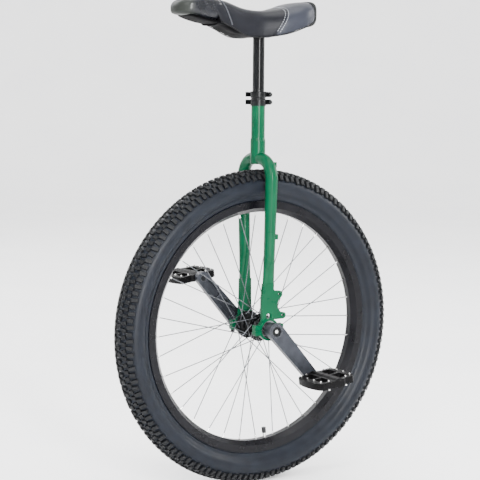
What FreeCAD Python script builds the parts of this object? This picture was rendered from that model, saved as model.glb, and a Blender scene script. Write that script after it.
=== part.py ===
import FreeCAD, Part

import math
import os
import re

import Sketcher

# A 27.5 inch mountain unicycle. X points forwards, Y to the rider's left and Z up. The origin is
# where the tyre meets the ground. Lengths are in millimetres and angles in degrees.

Vector = FreeCAD.Vector
Rotation = FreeCAD.Rotation
Placement = FreeCAD.Placement

LEFT, RIGHT = 1, -1

# Each driving size: its name on the sheet, its value and what it is.
SIZES = (
    ("bead_radius", 292, "bead seat radius of a 584 mm rim"),
    ("tyre_height", 78, "tread's tops above the bead seat"),
    ("tyre_radius", "=bead_radius + tyre_height", "axle height and outer radius of the tread"),
    ("tyre_width", 78, "tyre width"),
    ("sidewall", 3.5, "sidewall thickness"),
    ("tread_depth", 10, "casing and tread at the crown"),
    ("tube_radius", 29, "section radius of the inner tube"),
    ("tube_wall", 1.2, "inner tube wall"),
    ("rim_width", 42, "rim width outside"),
    ("rim_wall", 2.4, "rim wall"),
    ("flange_rise", 6, "rim flange above the bead seat"),
    ("rim_height", 27, "rim flange top to spoke bed"),
    ("spoke_count", 36, "spokes in the wheel"),
    ("spoke_radius", 1, "spoke radius"),
    ("spoke_crosses", 3, "crossings of each spoke"),
    ("lacing_turn", 0.67, "turn of the rim's first spoke hole below the front"),
    ("nipple_radius", 2, "nipple radius"),
    ("nipple_reach", 9, "nipple showing inside the spoke bed"),
    ("valve_radius", 4, "valve stem radius"),
    ("valve_reach", 24, "valve and cap showing inside the spoke bed"),
    ("hub_flange_radius", 32.5, "spoke flange radius"),
    ("hub_hole_circle", 28, "radius of the circle of spoke holes"),
    ("hub_flange", 3.2, "spoke flange thickness"),
    ("hub_barrel", 18, "hub barrel radius"),
    ("left_flange", 17, "left spoke flange from the wheel's middle"),
    ("right_flange", 34, "right spoke flange from the wheel's middle"),
    ("rotor_face", 38, "brake rotor seat from the wheel's middle"),
    ("rotor_circle", 22, "radius of the six rotor bolts"),
    ("axle_radius", 11, "axle radius at the bearings"),
    ("axle_bore", 7, "bore for the crank bolts"),
    ("spline_radius", 10.6, "axle radius inside the cranks"),
    ("bearing_spacing", 100, "bearing to bearing, middle to middle"),
    ("bearing_radius", 21, "bearing outer radius"),
    ("bearing_width", 12, "bearing width"),
    ("race_wall", 3.6, "thickness of each bearing race"),
    ("ball_radius", 2.6, "bearing ball radius"),
    ("fit_gap", 0.05, "radial clearance of a running fit"),
    ("housing_radius", 26, "bearing housing outer radius"),
    ("housing_width", 14, "bearing housing width"),
    ("housing_ear", 39, "half length of the bearing housing over its ears"),
    ("ear_height", 12, "height of each ear above and below the split"),
    ("split_gap", 0.8, "gap between housing and cap"),
    ("cap_bolt_reach", 33, "cap bolt from the axle"),
    ("cap_bolt_radius", 3, "cap bolt radius"),
    ("plate", 8, "drop-out plate thickness"),
    ("plate_face", 54, "outer face of the drop-out plates from the middle"),
    ("plate_rise", 108, "drop-out plates' top above the axle"),
    ("plate_top", "=tyre_radius + plate_rise", "height of the drop-out plates' top"),
    ("tab_radius", 8.3, "brake tab corner radius"),
    ("tab_hole_radius", 3.2, "brake bolt hole radius"),
    ("lower_tab_back", 39.3, "lower brake hole behind the axle"),
    ("lower_tab_rise", 31, "lower brake hole above the axle"),
    ("upper_tab_back", 29.2, "upper brake hole behind the axle"),
    ("upper_tab_rise", 81, "upper brake hole above the axle"),
    ("plate_window", 7, "radius of the window in the left plate"),
    ("leg_radius", 14.3, "leg radius at the crown"),
    ("leg_waist", 13, "leg radius below the bend"),
    ("leg_wall", 1.6, "leg wall"),
    ("leg_clearance", 5.7, "tyre to leg"),
    ("leg_reach", "=tyre_width / 2 + leg_clearance + leg_radius", "leg axis from the middle"),
    ("leg_foot_reach", 50, "leg axis from the middle at its foot"),
    ("leg_foot_width", 15.5, "half width of the flattened foot"),
    ("leg_foot_depth", 6.5, "half depth of the flattened foot"),
    ("elbow_radius", 45, "bend radius of the leg's axis"),
    ("elbow_rise", 12.5, "leg axis above the neck's lower end"),
    ("crown_gap", 12, "gap from the tread to the neck"),
    ("neck_radius", 15.9, "neck radius at the clamp"),
    ("neck_root", 17.5, "neck radius at the legs"),
    ("neck_length", 167, "neck length"),
    ("root_height", 54, "length of the neck's thicker root"),
    ("slot_width", 2, "width of the neck and clamp slots"),
    ("slot_length", 38, "length of the neck slot"),
    ("post_radius", 13.6, "seat post radius"),
    ("post_wall", 2.2, "seat post wall"),
    ("post_length", 250, "seat post length"),
    ("post_shown", 126, "seat post showing above the neck"),
    ("clamp_radius", 18, "seat clamp radius"),
    ("clamp_height", 33, "seat clamp height"),
    ("band_gap", 17.7, "upper lever to lower lever"),
    ("clamp_ear", 8, "half width over the clamp's ears"),
    ("clamp_bolt_back", 24, "clamp bolts behind the post"),
    ("clamp_bolt_radius", 2.5, "clamp bolt radius"),
    ("clamp_band", 12, "height of each band's ears"),
    ("clamp_nut_radius", 5.5, "radius of the clamp's round nuts"),
    ("lever_head", 7, "radius of the lever's cam"),
    ("lever_tip", 18, "tip of the lever ahead of the post"),
    ("lever_height", 11, "height of a lever"),
    ("lever_pivot", 18, "lever pivot to the right of the middle"),
    ("crank_length", 150, "axle to pedal"),
    ("crank_drop", 48, "angle of the left crank below level, pointing back"),
    ("crank_face", 88, "outer face of the cranks from the middle"),
    ("crank_boss", 19.5, "crank radius at the axle"),
    ("crank_eye", 15.5, "crank radius at the pedal"),
    ("crank_arm", 14, "crank thickness"),
    ("crank_boss_depth", 25.6, "crank thickness at the axle"),
    ("pedal_length", 96, "pedal front to back"),
    ("pedal_width", 100, "pedal width along its spindle"),
    ("pedal_depth", 16, "pedal thickness"),
    ("pedal_gap", 6, "crank to pedal"),
    ("pedal_tilt", 8, "nose of the pedals below level"),
    ("pedal_barrel", 11, "radius of the pedal's middle barrel"),
    ("spindle_radius", 7, "pedal spindle radius"),
    ("pin_height", 4, "grip pin height"),
    ("pin_radius", 1.8, "grip pin radius"),
    ("saddle_front", 136, "front of the cover from the post"),
    ("saddle_rear", 122, "rear of the cover from the post"),
    ("saddle_waist", 43, "half width of the saddle's narrow front"),
    ("saddle_hip", 75, "half width of the saddle's rear"),
    ("saddle_hang", 3, "cover's lowest point below the top of the post"),
    ("saddle_floor", "=2 * tyre_radius + crown_gap + neck_length + post_shown - saddle_hang",
     "lowest point of the cover"),
    ("saddle_depth", 63.5, "cover depth over the post"),
    ("cover_wall", 2, "cover thickness"),
    ("pad_gap", 0.5, "gap between the saddle's layers"),
    ("handle_reach", 91, "length of the front handle"),
    ("bumper_wall", 8, "thickness of the rear bumper"),
    ("base_top", 13, "top of the saddle's base above the cover's hem"),
    ("post_plate", 3, "thickness of the plate on the seat post"),
    ("plate_bolt_front", 32, "saddle bolts ahead of the post"),
    ("plate_bolt_rear", 14, "saddle bolts behind the post"),
    ("plate_bolt_side", 14, "saddle bolts from the middle"),
    ("plate_margin", 8, "plate beyond its bolts"),
    ("saddle_bolt_radius", 3, "saddle bolt radius"),
)
NAMES = {name for name, value, note in SIZES}

doc = FreeCAD.newDocument("Unicycle")
sheet = doc.addObject("Spreadsheet::Sheet", "Sizes")
NODES = []


# Sizes and formulas

def fill_sheet():
    """Write every driving size on the sheet with its name as the alias."""
    for row, (name, value, note) in enumerate(SIZES, start=1):
        sheet.set(f"A{row}", name)
        sheet.set(f"B{row}", str(value))
        sheet.set(f"C{row}", note)
        sheet.setAlias(f"B{row}", name)
    doc.recompute()


def bound(formula):
    """Turn a formula of size names into an expression on the sheet."""
    def spell(match):
        word = match.group()
        return f"Sizes.{word}" if word in NAMES else word
    return re.sub(r"[a-z_]+", spell, str(formula))


def size(formula):
    """Value of a formula of size names."""
    value = sheet.evalExpression(bound(formula))
    return float(getattr(value, "Value", value))


def bind(thing, path, formula):
    """Bind one property of a document object to a formula of size names."""
    thing.setExpression(path, bound(formula))


def place(thing, across="0", along="0", up="0", turn=None):
    """Bind an object's place to formulas, after turning it."""
    thing.Placement = Placement(Vector(size(across), size(along), size(up)), turn or Rotation())
    for axis, formula in zip("xyz", (across, along, up)):
        if formula != "0":
            bind(thing, f"Placement.Base.{axis}", formula)


def keep(thing, name):
    """Give a finished sub-part its label and list it for export."""
    thing.Label = name
    NODES.append(thing)
    return thing


# Sketches

AXLE = "tyre_radius"
ALONG_Y = Rotation(Vector(1, 0, 0), -90)


def origin_part(body, role):
    """One of a body's own origin planes or axes."""
    return next(part for part in body.Origin.OriginFeatures if part.Role == role)


def new_sketch(body, name, plane, lift="0"):
    """Attach an empty sketch to a body's own plane, lifted along the plane's normal."""
    sketch = body.newObject("Sketcher::SketchObject", name)
    sketch.AttachmentSupport = (origin_part(body, plane), [""])
    sketch.MapMode = "FlatFace"
    if lift != "0":
        bind(sketch, "AttachmentOffset.Base.z", lift)
    return sketch


def pin_down(sketch, kind, label, formula, *points):
    """Constrain points of a sketch and bind the dimension to its formula."""
    index = sketch.addConstraint(Sketcher.Constraint(kind, *points, size(formula)))
    sketch.renameConstraint(index, label)
    bind(sketch, f"Constraints.{label}", formula)


def pin_point(sketch, geometry, position, across, up, label):
    """Fix a point of the sketch by its two coordinates."""
    for kind, formula, axis in (("DistanceX", across, -2), ("DistanceY", up, -1)):
        if formula == "0":
            sketch.addConstraint(Sketcher.Constraint("PointOnObject", geometry, position, axis))
        else:
            pin_down(sketch, kind, f"{kind}_{label}", formula, -1, 1, geometry, position)


def arc_between(start, end, radius):
    """The shorter arc between two points, to the left when the radius is positive."""
    chord = end - start
    side = math.copysign(1, radius)
    reach = math.sqrt(max(radius ** 2 - (chord.Length / 2) ** 2, 0))
    centre = (start + end) * 0.5 + Vector(-chord.y, chord.x, 0) * (side * reach / chord.Length)
    first, last = (start, end) if side > 0 else (end, start)
    begin = math.atan2(first.y - centre.y, first.x - centre.x)
    finish = math.atan2(last.y - centre.y, last.x - centre.x)
    if finish < begin:
        finish += 2 * math.pi
    circle = Part.Circle(centre, Vector(0, 0, 1), abs(radius))
    return Part.ArcOfCircle(circle, begin, finish)


def outline(sketch, corners, tag="edge"):
    """Close a profile through corners; a third item bends the edge that follows the corner."""
    spots = [Vector(size(corner[0]), size(corner[1]), 0) for corner in corners]
    edges = []
    for index, corner in enumerate(corners):
        start, end = spots[index], spots[(index + 1) % len(spots)]
        bend = corner[2] if len(corner) == 3 else None
        if bend is None:
            edges.append((sketch.addGeometry(Part.LineSegment(start, end)), 1, 2))
            continue
        arc = sketch.addGeometry(arc_between(start, end, size(bend)))
        edges.append((arc, 1, 2) if size(bend) > 0 else (arc, 2, 1))
    for index, (corner, (edge, first, last)) in enumerate(zip(corners, edges)):
        following = edges[(index + 1) % len(edges)]
        sketch.addConstraint(Sketcher.Constraint("Coincident", edge, last, *following[:2]))
        pin_point(sketch, edge, first, corner[0], corner[1], f"{tag}_{index}")
        if len(corner) == 3:
            radius = corner[2] if size(corner[2]) > 0 else f"-({corner[2]})"
            pin_down(sketch, "Radius", f"bend_{tag}_{index}", radius, edge)


def ring(sketch, across, up, radius, tag="ring"):
    """Add a circle to a sketch."""
    spot = Vector(size(across), size(up), 0)
    circle = sketch.addGeometry(Part.Circle(spot, Vector(0, 0, 1), size(radius)))
    pin_point(sketch, circle, 3, across, up, tag)
    pin_down(sketch, "Radius", f"radius_{tag}", radius, circle)


# Features

def new_body(name, height="0"):
    """A body whose origin sits at a height above the ground."""
    body = doc.addObject("PartDesign::Body", name)
    body.Label = name
    place(body, up=height)
    return body


def turned(name, loops, plane="XY_Plane", height=AXLE):
    """A body turned about its sketch's upright axis, from one or more closed loops."""
    body = new_body(name, height)
    sketch = new_sketch(body, name + "_profile", plane)
    for index, corners in enumerate(loops):
        outline(sketch, corners, f"loop{index}")
    turn = body.newObject("PartDesign::Revolution", name + "_turned")
    turn.Profile = sketch
    turn.ReferenceAxis = (sketch, ["V_Axis"])
    turn.Angle = 360
    doc.recompute()
    return body


def pad(body, sketch, length, both=False):
    """Raise a sketch along its normal, or to both sides of it."""
    feature = body.newObject("PartDesign::Pad", sketch.Name + "_pad")
    feature.Profile = sketch
    feature.SideType = "Symmetric" if both else "One side"
    bind(feature, "Length", length)
    doc.recompute()
    return feature


def pocket(body, sketch, length=None, both=False, onwards=False):
    """Cut a sketch out of its body, against the sketch's normal unless told to go onwards."""
    before = body.Shape.Volume
    feature = body.newObject("PartDesign::Pocket", sketch.Name + "_pocket")
    feature.Profile = sketch
    feature.SideType = "Symmetric" if both else "One side"
    feature.Reversed = onwards
    if length is None:
        feature.Type = "ThroughAll"
    else:
        bind(feature, "Length", length)
    doc.recompute()
    if body.Shape.Volume > before - 1e-6:
        raise RuntimeError(feature.Name + " cuts nothing")
    return feature


def around_axle(body, features, count, name):
    """Repeat features evenly about the body's Y axis."""
    pattern = body.newObject("PartDesign::PolarPattern", name)
    pattern.Originals = features
    pattern.Axis = (origin_part(body, "Y_Axis"), [""])
    pattern.Angle = 360
    bind(pattern, "Occurrences", count)
    body.Tip = pattern
    doc.recompute()
    return pattern


def slab(name, corners, face, thickness, height=AXLE):
    """A plate cut to an outline in the XZ plane, from its left face towards the right."""
    body = new_body(name, height)
    sketch = new_sketch(body, name + "_outline", "XZ_Plane", f"-({face})")
    outline(sketch, corners)
    pad(body, sketch, thickness)
    return body


def primitive(kind, name, spot=("0", "0", "0"), turn=None, **sizes):
    """A Part primitive with its sizes and place bound to formulas."""
    thing = doc.addObject("Part::" + kind, name)
    for key, formula in sizes.items():
        bind(thing, key, formula)
    place(thing, *spot, turn=turn)
    return thing


def joined(name, parts):
    """Fuse objects into one."""
    thing = doc.addObject("Part::MultiFuse", name)
    thing.Shapes = parts
    doc.recompute()
    return thing


def without(name, base, tool):
    """Cut a tool out of an object."""
    thing = doc.addObject("Part::Cut", name)
    thing.Base = base
    thing.Tool = tool
    doc.recompute()
    return thing


def mirrored(name, source, normal=Vector(0, 1, 0), height="0"):
    """Mirror an object in a plane through the middle."""
    thing = doc.addObject("Part::Mirroring", name)
    thing.Source = source
    thing.Base = Vector(0, 0, size(height))
    if height != "0":
        bind(thing, "Base.z", height)
    thing.Normal = normal
    doc.recompute()
    return thing


def group(name, things):
    """Collect separate identical solids in one sub-part."""
    thing = doc.addObject("Part::Compound", name)
    thing.Links = things
    doc.recompute()
    return thing


def solid(name, shape, placement=None):
    """A sub-part whose shape is made directly."""
    thing = doc.addObject("Part::Feature", name)
    thing.Shape = shape
    thing.Placement = placement or Placement()
    return thing


def rod(start, end, radius):
    """A round bar between two points."""
    return Part.makeCylinder(radius, (end - start).Length, start, end - start)


def bolt(head, tip, shank, head_radius, head_height, key):
    """A socket head bolt: its head stands behind the start point, and its key hole is blind."""
    way = (tip - head).normalize()
    back = head - way * head_height
    body = rod(head, tip, shank).fuse(rod(back, head, head_radius))
    return body.cut(rod(back, back + way * (0.6 * head_height), key)).removeSplitter()


def wheel_spot(radius, degrees, along=0):
    """A point at a radius and angle about the axle, from the front upwards."""
    turn = math.radians(degrees)
    return Vector(radius * math.cos(turn), along, size(AXLE) + radius * math.sin(turn))


# Wheel

def make_tyre():
    """Casing with its beads, closed by the rim, and smooth over the tread's tops."""
    flank = "tyre_width / 2"
    middle = "tyre_radius - tyre_width / 2"
    heel = "rim_width / 2 - rim_wall - 0.2"
    toe = f"{heel} - 5.8"
    inside = "tyre_width / 2 - sidewall"
    cord = "tyre_radius - tread_depth"
    lip = "bead_radius + flange_rise + 2"

    def half(side, corners):
        return [(radius, f"{side} * ({along})", *rest) for radius, along, *rest in corners]

    corners = [("tyre_radius", "0", "tyre_width / 2")]
    corners += half(1, [(middle, flank, "tyre_width / 2 - 1"), (lip, f"{heel} + 0.2"),
                        ("bead_radius + 0.2", heel), ("bead_radius + 0.2", toe),
                        ("bead_radius + 11", f"{toe} + 3", "-(tyre_width / 2 - 3)"),
                        (middle, inside, "-(tyre_width / 2 - 3)")])
    corners += [(cord, "0", "-(tyre_width / 2 - 3)")]
    corners += half(-1, [(middle, inside, "-(tyre_width / 2 - 3)"),
                         ("bead_radius + 11", f"{toe} + 3"), ("bead_radius + 0.2", toe),
                         ("bead_radius + 0.2", heel), (lip, f"{heel} + 0.2", "tyre_width / 2 - 1"),
                         (middle, flank, "tyre_width / 2")])
    keep(turned("tyre", [corners]), "tyre")


TUBE_CENTRE = "tyre_radius - tread_depth - tube_radius - 1.5"


def make_inner_tube():
    """Butyl tube inside the casing, with its valve and cap."""
    skin = primitive("Torus", "tube_outside", ("0", "0", AXLE), ALONG_Y,
                     Radius1=TUBE_CENTRE, Radius2="tube_radius")
    air = primitive("Torus", "tube_inside", ("0", "0", AXLE), ALONG_Y,
                    Radius1=TUBE_CENTRE, Radius2="tube_radius - tube_wall")
    keep(without("inner_tube", skin, air), "inner_tube")
    turn = size("lacing_turn") * -1 - 90 - 180 / size("spoke_count")
    base = size(f"{TUBE_CENTRE} - tube_radius") - 0.2
    bed = size("bead_radius + flange_rise - rim_height")
    tip = bed - size("valve_reach")
    stem = rod(wheel_spot(base, turn), wheel_spot(tip + 3, turn), size("valve_radius"))
    cap = rod(wheel_spot(tip + 13, turn), wheel_spot(tip, turn), size("valve_radius") + 1.2)
    keep(solid("valve_stem", stem), "valve_stem")
    keep(solid("valve_cap", cap.cut(stem)), "valve_cap")


def radial_hole(body, name, radius, start, degrees):
    """Drill outwards from a distance off the axle, at an angle about it."""
    sketch = new_sketch(body, name, "YZ_Plane")
    turn = Rotation(Vector(1, 0, 0), size(degrees))
    sketch.AttachmentOffset = Placement(turn.multVec(Vector(0, 0, size(start))), turn)
    ring(sketch, "0", "0", radius)
    return pocket(body, sketch, onwards=True)


def make_rim():
    """Double-walled rim with a hollow between its walls, drilled for spokes and valve."""
    flank = "rim_width / 2"
    throat = "rim_width / 2 - rim_wall"
    top = "bead_radius + flange_rise"
    bed = f"{top} - rim_height"
    outside = [(top, flank), (top, throat), ("bead_radius", throat),
               ("bead_radius - 0.8", f"{throat} - 7.5"), ("bead_radius - 5", f"{throat} - 10.5")]
    foot = [(f"{bed} + 10", flank), (f"{bed}", "8")]
    loop = outside + [(radius, f"-({along})") for radius, along in reversed(outside)]
    loop += [(radius, f"-({along})") for radius, along in foot] + foot[::-1]
    well = [("bead_radius - rim_wall", throat), ("bead_radius - 3.4", f"{throat} - 7.5"),
            ("bead_radius - 7.2", f"{throat} - 9.5")]
    floor = [(f"{bed} + 10.8", throat), (f"{bed} + rim_wall", "7")]
    hollow = well + [(radius, f"-({along})") for radius, along in reversed(well)]
    hollow += [(radius, f"-({along})") for radius, along in floor] + floor[::-1]
    body = turned("rim", [loop, hollow])
    seat = radial_hole(body, "nipple_hole", "nipple_radius + 0.6", "0", "0")
    access = radial_hole(body, "access_hole", "nipple_radius + 2.2", "bead_radius - 10", "0")
    around_axle(body, [seat, access], "spoke_count", "rim_holes")
    radial_hole(body, "valve_hole", "valve_radius + 0.3", "0", "90 + 180 / spoke_count")
    body.Placement = Placement(body.Placement.Base, Rotation(Vector(0, 1, 0), size("lacing_turn")))
    bind(body, "Placement.Base.z", AXLE)
    keep(body, "rim")


def make_rim_tape():
    """Band that covers the access holes in the rim's well."""
    low, high = "bead_radius - 4.8", "bead_radius - 4"
    across = "rim_width / 2 - rim_wall - 11.2"
    body = turned("rim_tape", [[(high, across), (low, across), (low, f"-({across})"),
                                (high, f"-({across})")]])
    radial_hole(body, "tape_hole", "valve_radius + 0.3", "0", "90 + 180 / spoke_count")
    body.Placement = Placement(body.Placement.Base, Rotation(Vector(0, 1, 0), size("lacing_turn")))
    bind(body, "Placement.Base.z", AXLE)
    keep(body, "rim_tape")


def hub_hole_angle(side):
    """Angle of the first spoke hole of a flange, in step with its rim holes."""
    pitch = 360 / size("spoke_count")
    return -size("lacing_turn") + (0 if side == LEFT else pitch)


def make_spokes(side, name):
    """One flange's spokes, each with its elbow, its head and its nipple."""
    pitch = 360 / size("spoke_count")
    wire = size("spoke_radius")
    swing = 2 * pitch * size("spoke_crosses")
    flange = side * size("left_flange" if side == LEFT else "right_flange")
    plate = size("hub_flange") / 2
    bed = size("bead_radius + flange_rise - rim_height")
    spokes, nipples = [], []
    for index in range(int(size("spoke_count")) // 2):
        rim_turn = hub_hole_angle(side) + 2 * pitch * index
        trailing = (index + (side == LEFT)) % 2
        hub_turn = rim_turn + (swing if trailing else -swing)
        outwards = side if trailing else -side
        elbow = wheel_spot(size("hub_hole_circle"), hub_turn, flange + outwards * (plate + 3 + wire))
        back = wheel_spot(size("hub_hole_circle"), hub_turn, flange - outwards * (plate + 0.6))
        head_end = back - Vector(0, outwards * 1.2, 0)
        rim_end = wheel_spot(bed + size("rim_wall") + 1, rim_turn)
        way = (rim_end - elbow).normalize()
        shape = rod(back, elbow, wire).fuse([Part.makeSphere(wire, elbow), rod(elbow, rim_end, wire),
                                             rod(back, head_end, 2 * wire)])
        spokes.append(shape)
        foot = rim_end - way * (size("rim_wall") + 1 + size("nipple_reach"))
        seat = rim_end + way * 0.3
        sleeve = rod(foot, seat, size("nipple_radius")).fuse(rod(seat - way * 0.4, seat + way * 2, 3))
        nipples.append(sleeve.cut(rod(foot, rim_end, wire)))
    keep(solid(name, Part.makeCompound(spokes)), name)
    return nipples


def make_hub():
    """Hub shell with two spoke flanges, and the lobed seat of a brake rotor."""
    barrel, flange, tip = "hub_barrel", "hub_flange_radius", "hub_flange / 2"
    neck = "hub_barrel - 3"
    end = "bearing_spacing / 2 - bearing_width / 2 - 1.5"
    seat = "rotor_face - 4"
    left, right = "left_flange", "right_flange"
    corners = [("axle_radius", f"-({end})"), (neck, f"-({end})"), (neck, f"-({right} + {tip} + 0.6)"),
               (flange, f"-({right} + {tip})"), (flange, f"-({right} - {tip})"),
               (f"{barrel} + 3", f"-({right} - {tip} - 0.6)"), (barrel, f"-({right} - {tip} - 4)"),
               (barrel, f"{left} - {tip} - 4"), (f"{barrel} + 3", f"{left} - {tip} - 0.6"),
               (flange, f"{left} - {tip}"), (flange, f"{left} + {tip}"),
               (f"{barrel} + 3", f"{left} + {tip} + 0.6"), (barrel, f"{left} + {tip} + 4"),
               (barrel, seat), (neck, seat), (neck, end), ("axle_radius", end)]
    body = turned("hub_shell", [corners])
    for side, face in ((LEFT, f"-({left} - 3)"), (RIGHT, f"{right} + 3")):
        turn = hub_hole_angle(side)
        sketch = new_sketch(body, f"spoke_holes_{side + 1}", "XZ_Plane", face)
        ring(sketch, f"hub_hole_circle * cos({turn})", f"hub_hole_circle * sin({turn})",
             "spoke_radius + 0.3")
        hole = pocket(body, sketch, "hub_flange + 3")
        around_axle(body, [hole], "spoke_count / 2", f"spoke_hole_ring_{side + 1}")
    keep(body, "hub_shell")
    make_disc_carrier(seat, neck)


def make_disc_carrier(seat, neck):
    """Six lobes on a ring, each drilled for a rotor bolt."""
    body = new_body("disc_carrier", AXLE)
    sketch = new_sketch(body, "carrier_ring", "XZ_Plane", "-rotor_face")
    ring(sketch, "0", "0", "rotor_circle - 1", "outside")
    ring(sketch, "0", "0", neck, "inside")
    pad(body, sketch, "4")
    lobe = new_sketch(body, "carrier_lobe", "XZ_Plane", "-rotor_face")
    ring(lobe, "rotor_circle", "0", "6.5")
    lobe_pad = pad(body, lobe, "4")
    around_axle(body, [lobe_pad], "6", "lobes")
    hole = new_sketch(body, "rotor_hole", "XZ_Plane", "-rotor_face")
    ring(hole, "rotor_circle", "0", "2.1")
    drilled = pocket(body, hole, "4.5", onwards=True)
    around_axle(body, [drilled], "6", "rotor_holes")
    keep(body, "disc_carrier")


def make_axle():
    """Hollow axle with stepped ends that the cranks slide on."""
    end = "crank_face - 8"
    step = "crank_face - crank_boss_depth - 1"
    corners = [("axle_bore", f"-({end})"), ("spline_radius", f"-({end})"), ("spline_radius", f"-({step})"),
               ("axle_radius", f"-({step})"), ("axle_radius", step), ("spline_radius", step),
               ("spline_radius", end), ("axle_bore", end)]
    keep(turned("axle", [corners]), "axle")


def both_sides(name, left):
    """A left piece and its mirror image as one sub-part of two solids."""
    keep(group(name, [left, mirrored(name + "_right", left)]), name)


def race(name, inner, outer, groove_centre):
    """A bearing race with a groove for its balls."""
    low, high = "bearing_spacing / 2 - bearing_width / 2", "bearing_spacing / 2 + bearing_width / 2"
    body = turned(name, [[(inner, low), (outer, low), (outer, high), (inner, high)]])
    groove = primitive("Torus", name + "_groove", ("0", "bearing_spacing / 2", AXLE), ALONG_Y,
                       Radius1=groove_centre, Radius2="ball_radius + 0.08")
    return without(name + "_grooved", body, groove)


def make_bearings():
    """Two ball bearings: races, balls and the spacers out to the cranks."""
    pitch = "(axle_radius + bearing_radius) / 2"
    both_sides("bearing_inner_races", race("inner_race", "axle_radius", "axle_radius + race_wall", pitch))
    both_sides("bearing_outer_races", race("outer_race", "bearing_radius - race_wall",
                                           "bearing_radius", pitch))
    count = int(math.pi * size(pitch) / (1.6 * size("ball_radius")))
    spots = [wheel_spot(size(pitch), 360 * index / count, side * size("bearing_spacing") / 2)
             for side in (LEFT, RIGHT) for index in range(count)]
    balls = [Part.makeSphere(size("ball_radius"), spot) for spot in spots]
    keep(solid("bearing_balls", Part.makeCompound(balls)), "bearing_balls")
    low = "bearing_spacing / 2 + bearing_width / 2"
    high = "crank_face - crank_boss_depth"
    spacer = turned("spacer", [[("axle_radius", low), ("axle_radius + race_wall", low),
                                ("axle_radius + race_wall", high), ("axle_radius", high)]])
    both_sides("bearing_spacers", spacer)


# Cranks and pedals. Each is drawn with x from the axle to the pedal and z out of the side.

def side_frame(side, reach="0"):
    """Frame on the crank: x along it, z out to its side, at a distance from the axle."""
    angle = math.radians(180 + size("crank_drop") if side == LEFT else size("crank_drop"))
    along = Vector(math.cos(angle), 0, math.sin(angle))
    out = Vector(0, side, 0)
    start = Vector(0, 0, size(AXLE)) + along * size(reach)
    return Placement(start, Rotation(along, Vector(), out, "ZXY"))


def side_name(side):
    """Name of a side."""
    return "left" if side == LEFT else "right"


def make_crank(side):
    """Forged arm with a deep boss, a splined bore and a hollow on its inner face."""
    name = "crank_" + side_name(side)
    body = new_body(name)
    flare = "(crank_boss - crank_eye) / crank_length"
    rise = f"cos(asin({flare}))"
    arm = new_sketch(body, name + "_arm", "XY_Plane", "crank_face - crank_arm")
    boss_x, boss_y = f"crank_boss * {flare}", f"crank_boss * {rise}"
    eye_x, eye_y = f"crank_length + crank_eye * {flare}", f"crank_eye * {rise}"
    outline(arm, [(eye_x, f"-({eye_y})", "crank_eye"), ("crank_length + crank_eye", "0", "crank_eye"),
                  (eye_x, eye_y), (boss_x, boss_y, "crank_boss"), ("-crank_boss", "0", "crank_boss"),
                  (boss_x, f"-({boss_y})")])
    pad(body, arm, "crank_arm")
    boss = new_sketch(body, name + "_boss", "XY_Plane", "crank_face - crank_boss_depth")
    ring(boss, "0", "0", "crank_boss - 0.8")
    pad(body, boss, "crank_boss_depth - 1")
    cuts = (("bore", "0", "spline_radius", "crank_boss_depth", "0"),
            ("recess", "0", "12", "7.6", "0"), ("dish", "0", "15.6", "1.6", "0"),
            ("eye", "crank_length", "spindle_radius", "crank_arm", "0"))
    for label, across, radius, depth, lift in cuts:
        sketch = new_sketch(body, f"{name}_{label}", "XY_Plane", "crank_face")
        ring(sketch, across, "0", radius)
        pocket(body, sketch, depth)
    trough = new_sketch(body, name + "_trough", "XY_Plane", "crank_face - crank_arm")
    near, far = "crank_boss + 6", "crank_length - crank_eye - 4"
    deep, shallow, mid = "crank_boss - 9", "crank_eye - 6", "crank_eye - 5.3"
    bridge = "crank_length / 2 + 6"
    outline(trough, [(near, f"-({deep})"), (f"{bridge} - 8", f"-({mid})"), (f"{bridge} - 8", mid),
                     (near, deep)], "inner")
    outline(trough, [(f"{bridge} + 8", f"-({mid})"), (far, f"-({shallow})", shallow),
                     (f"{far} + {shallow}", "0", shallow), (far, shallow), (f"{bridge} + 8", mid)], "outer")
    pocket(body, trough, "crank_arm - 5", onwards=True)
    body.Placement = side_frame(side)
    keep(body, name)


def make_crank_bolts():
    """Crank bolts under polished rings."""
    bolts, rings = [], []
    for side in (LEFT, RIGHT):
        seat = size("crank_face") - 7.6
        head = Vector(0, side * seat, size(AXLE))
        tip = Vector(0, side * (seat - 22), size(AXLE))
        bolts.append(bolt(head, tip, size("axle_bore"), 10.6, 6, 5))
        low = Vector(0, side * (size("crank_face") - 1.6), size(AXLE))
        high = Vector(0, side * (size("crank_face") + 0.4), size(AXLE))
        rings.append(rod(low, high, 15.5).cut(rod(low, high, 11.4)))
    keep(solid("crank_bolts", Part.makeCompound(bolts)), "crank_bolts")
    keep(solid("crank_rings", Part.makeCompound(rings)), "crank_rings")


def pedal_frame(side):
    """Frame on the pedal: x forwards, z out to its side, from the crank's outer face."""
    start = side_frame(side, "crank_length").Base + Vector(0, side * size("crank_face"), 0)
    tilt = math.radians(-size("pedal_tilt"))
    forwards = Vector(math.cos(tilt), 0, math.sin(tilt))
    return Placement(start, Rotation(forwards, Vector(), Vector(0, side, 0), "ZXY"))


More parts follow.
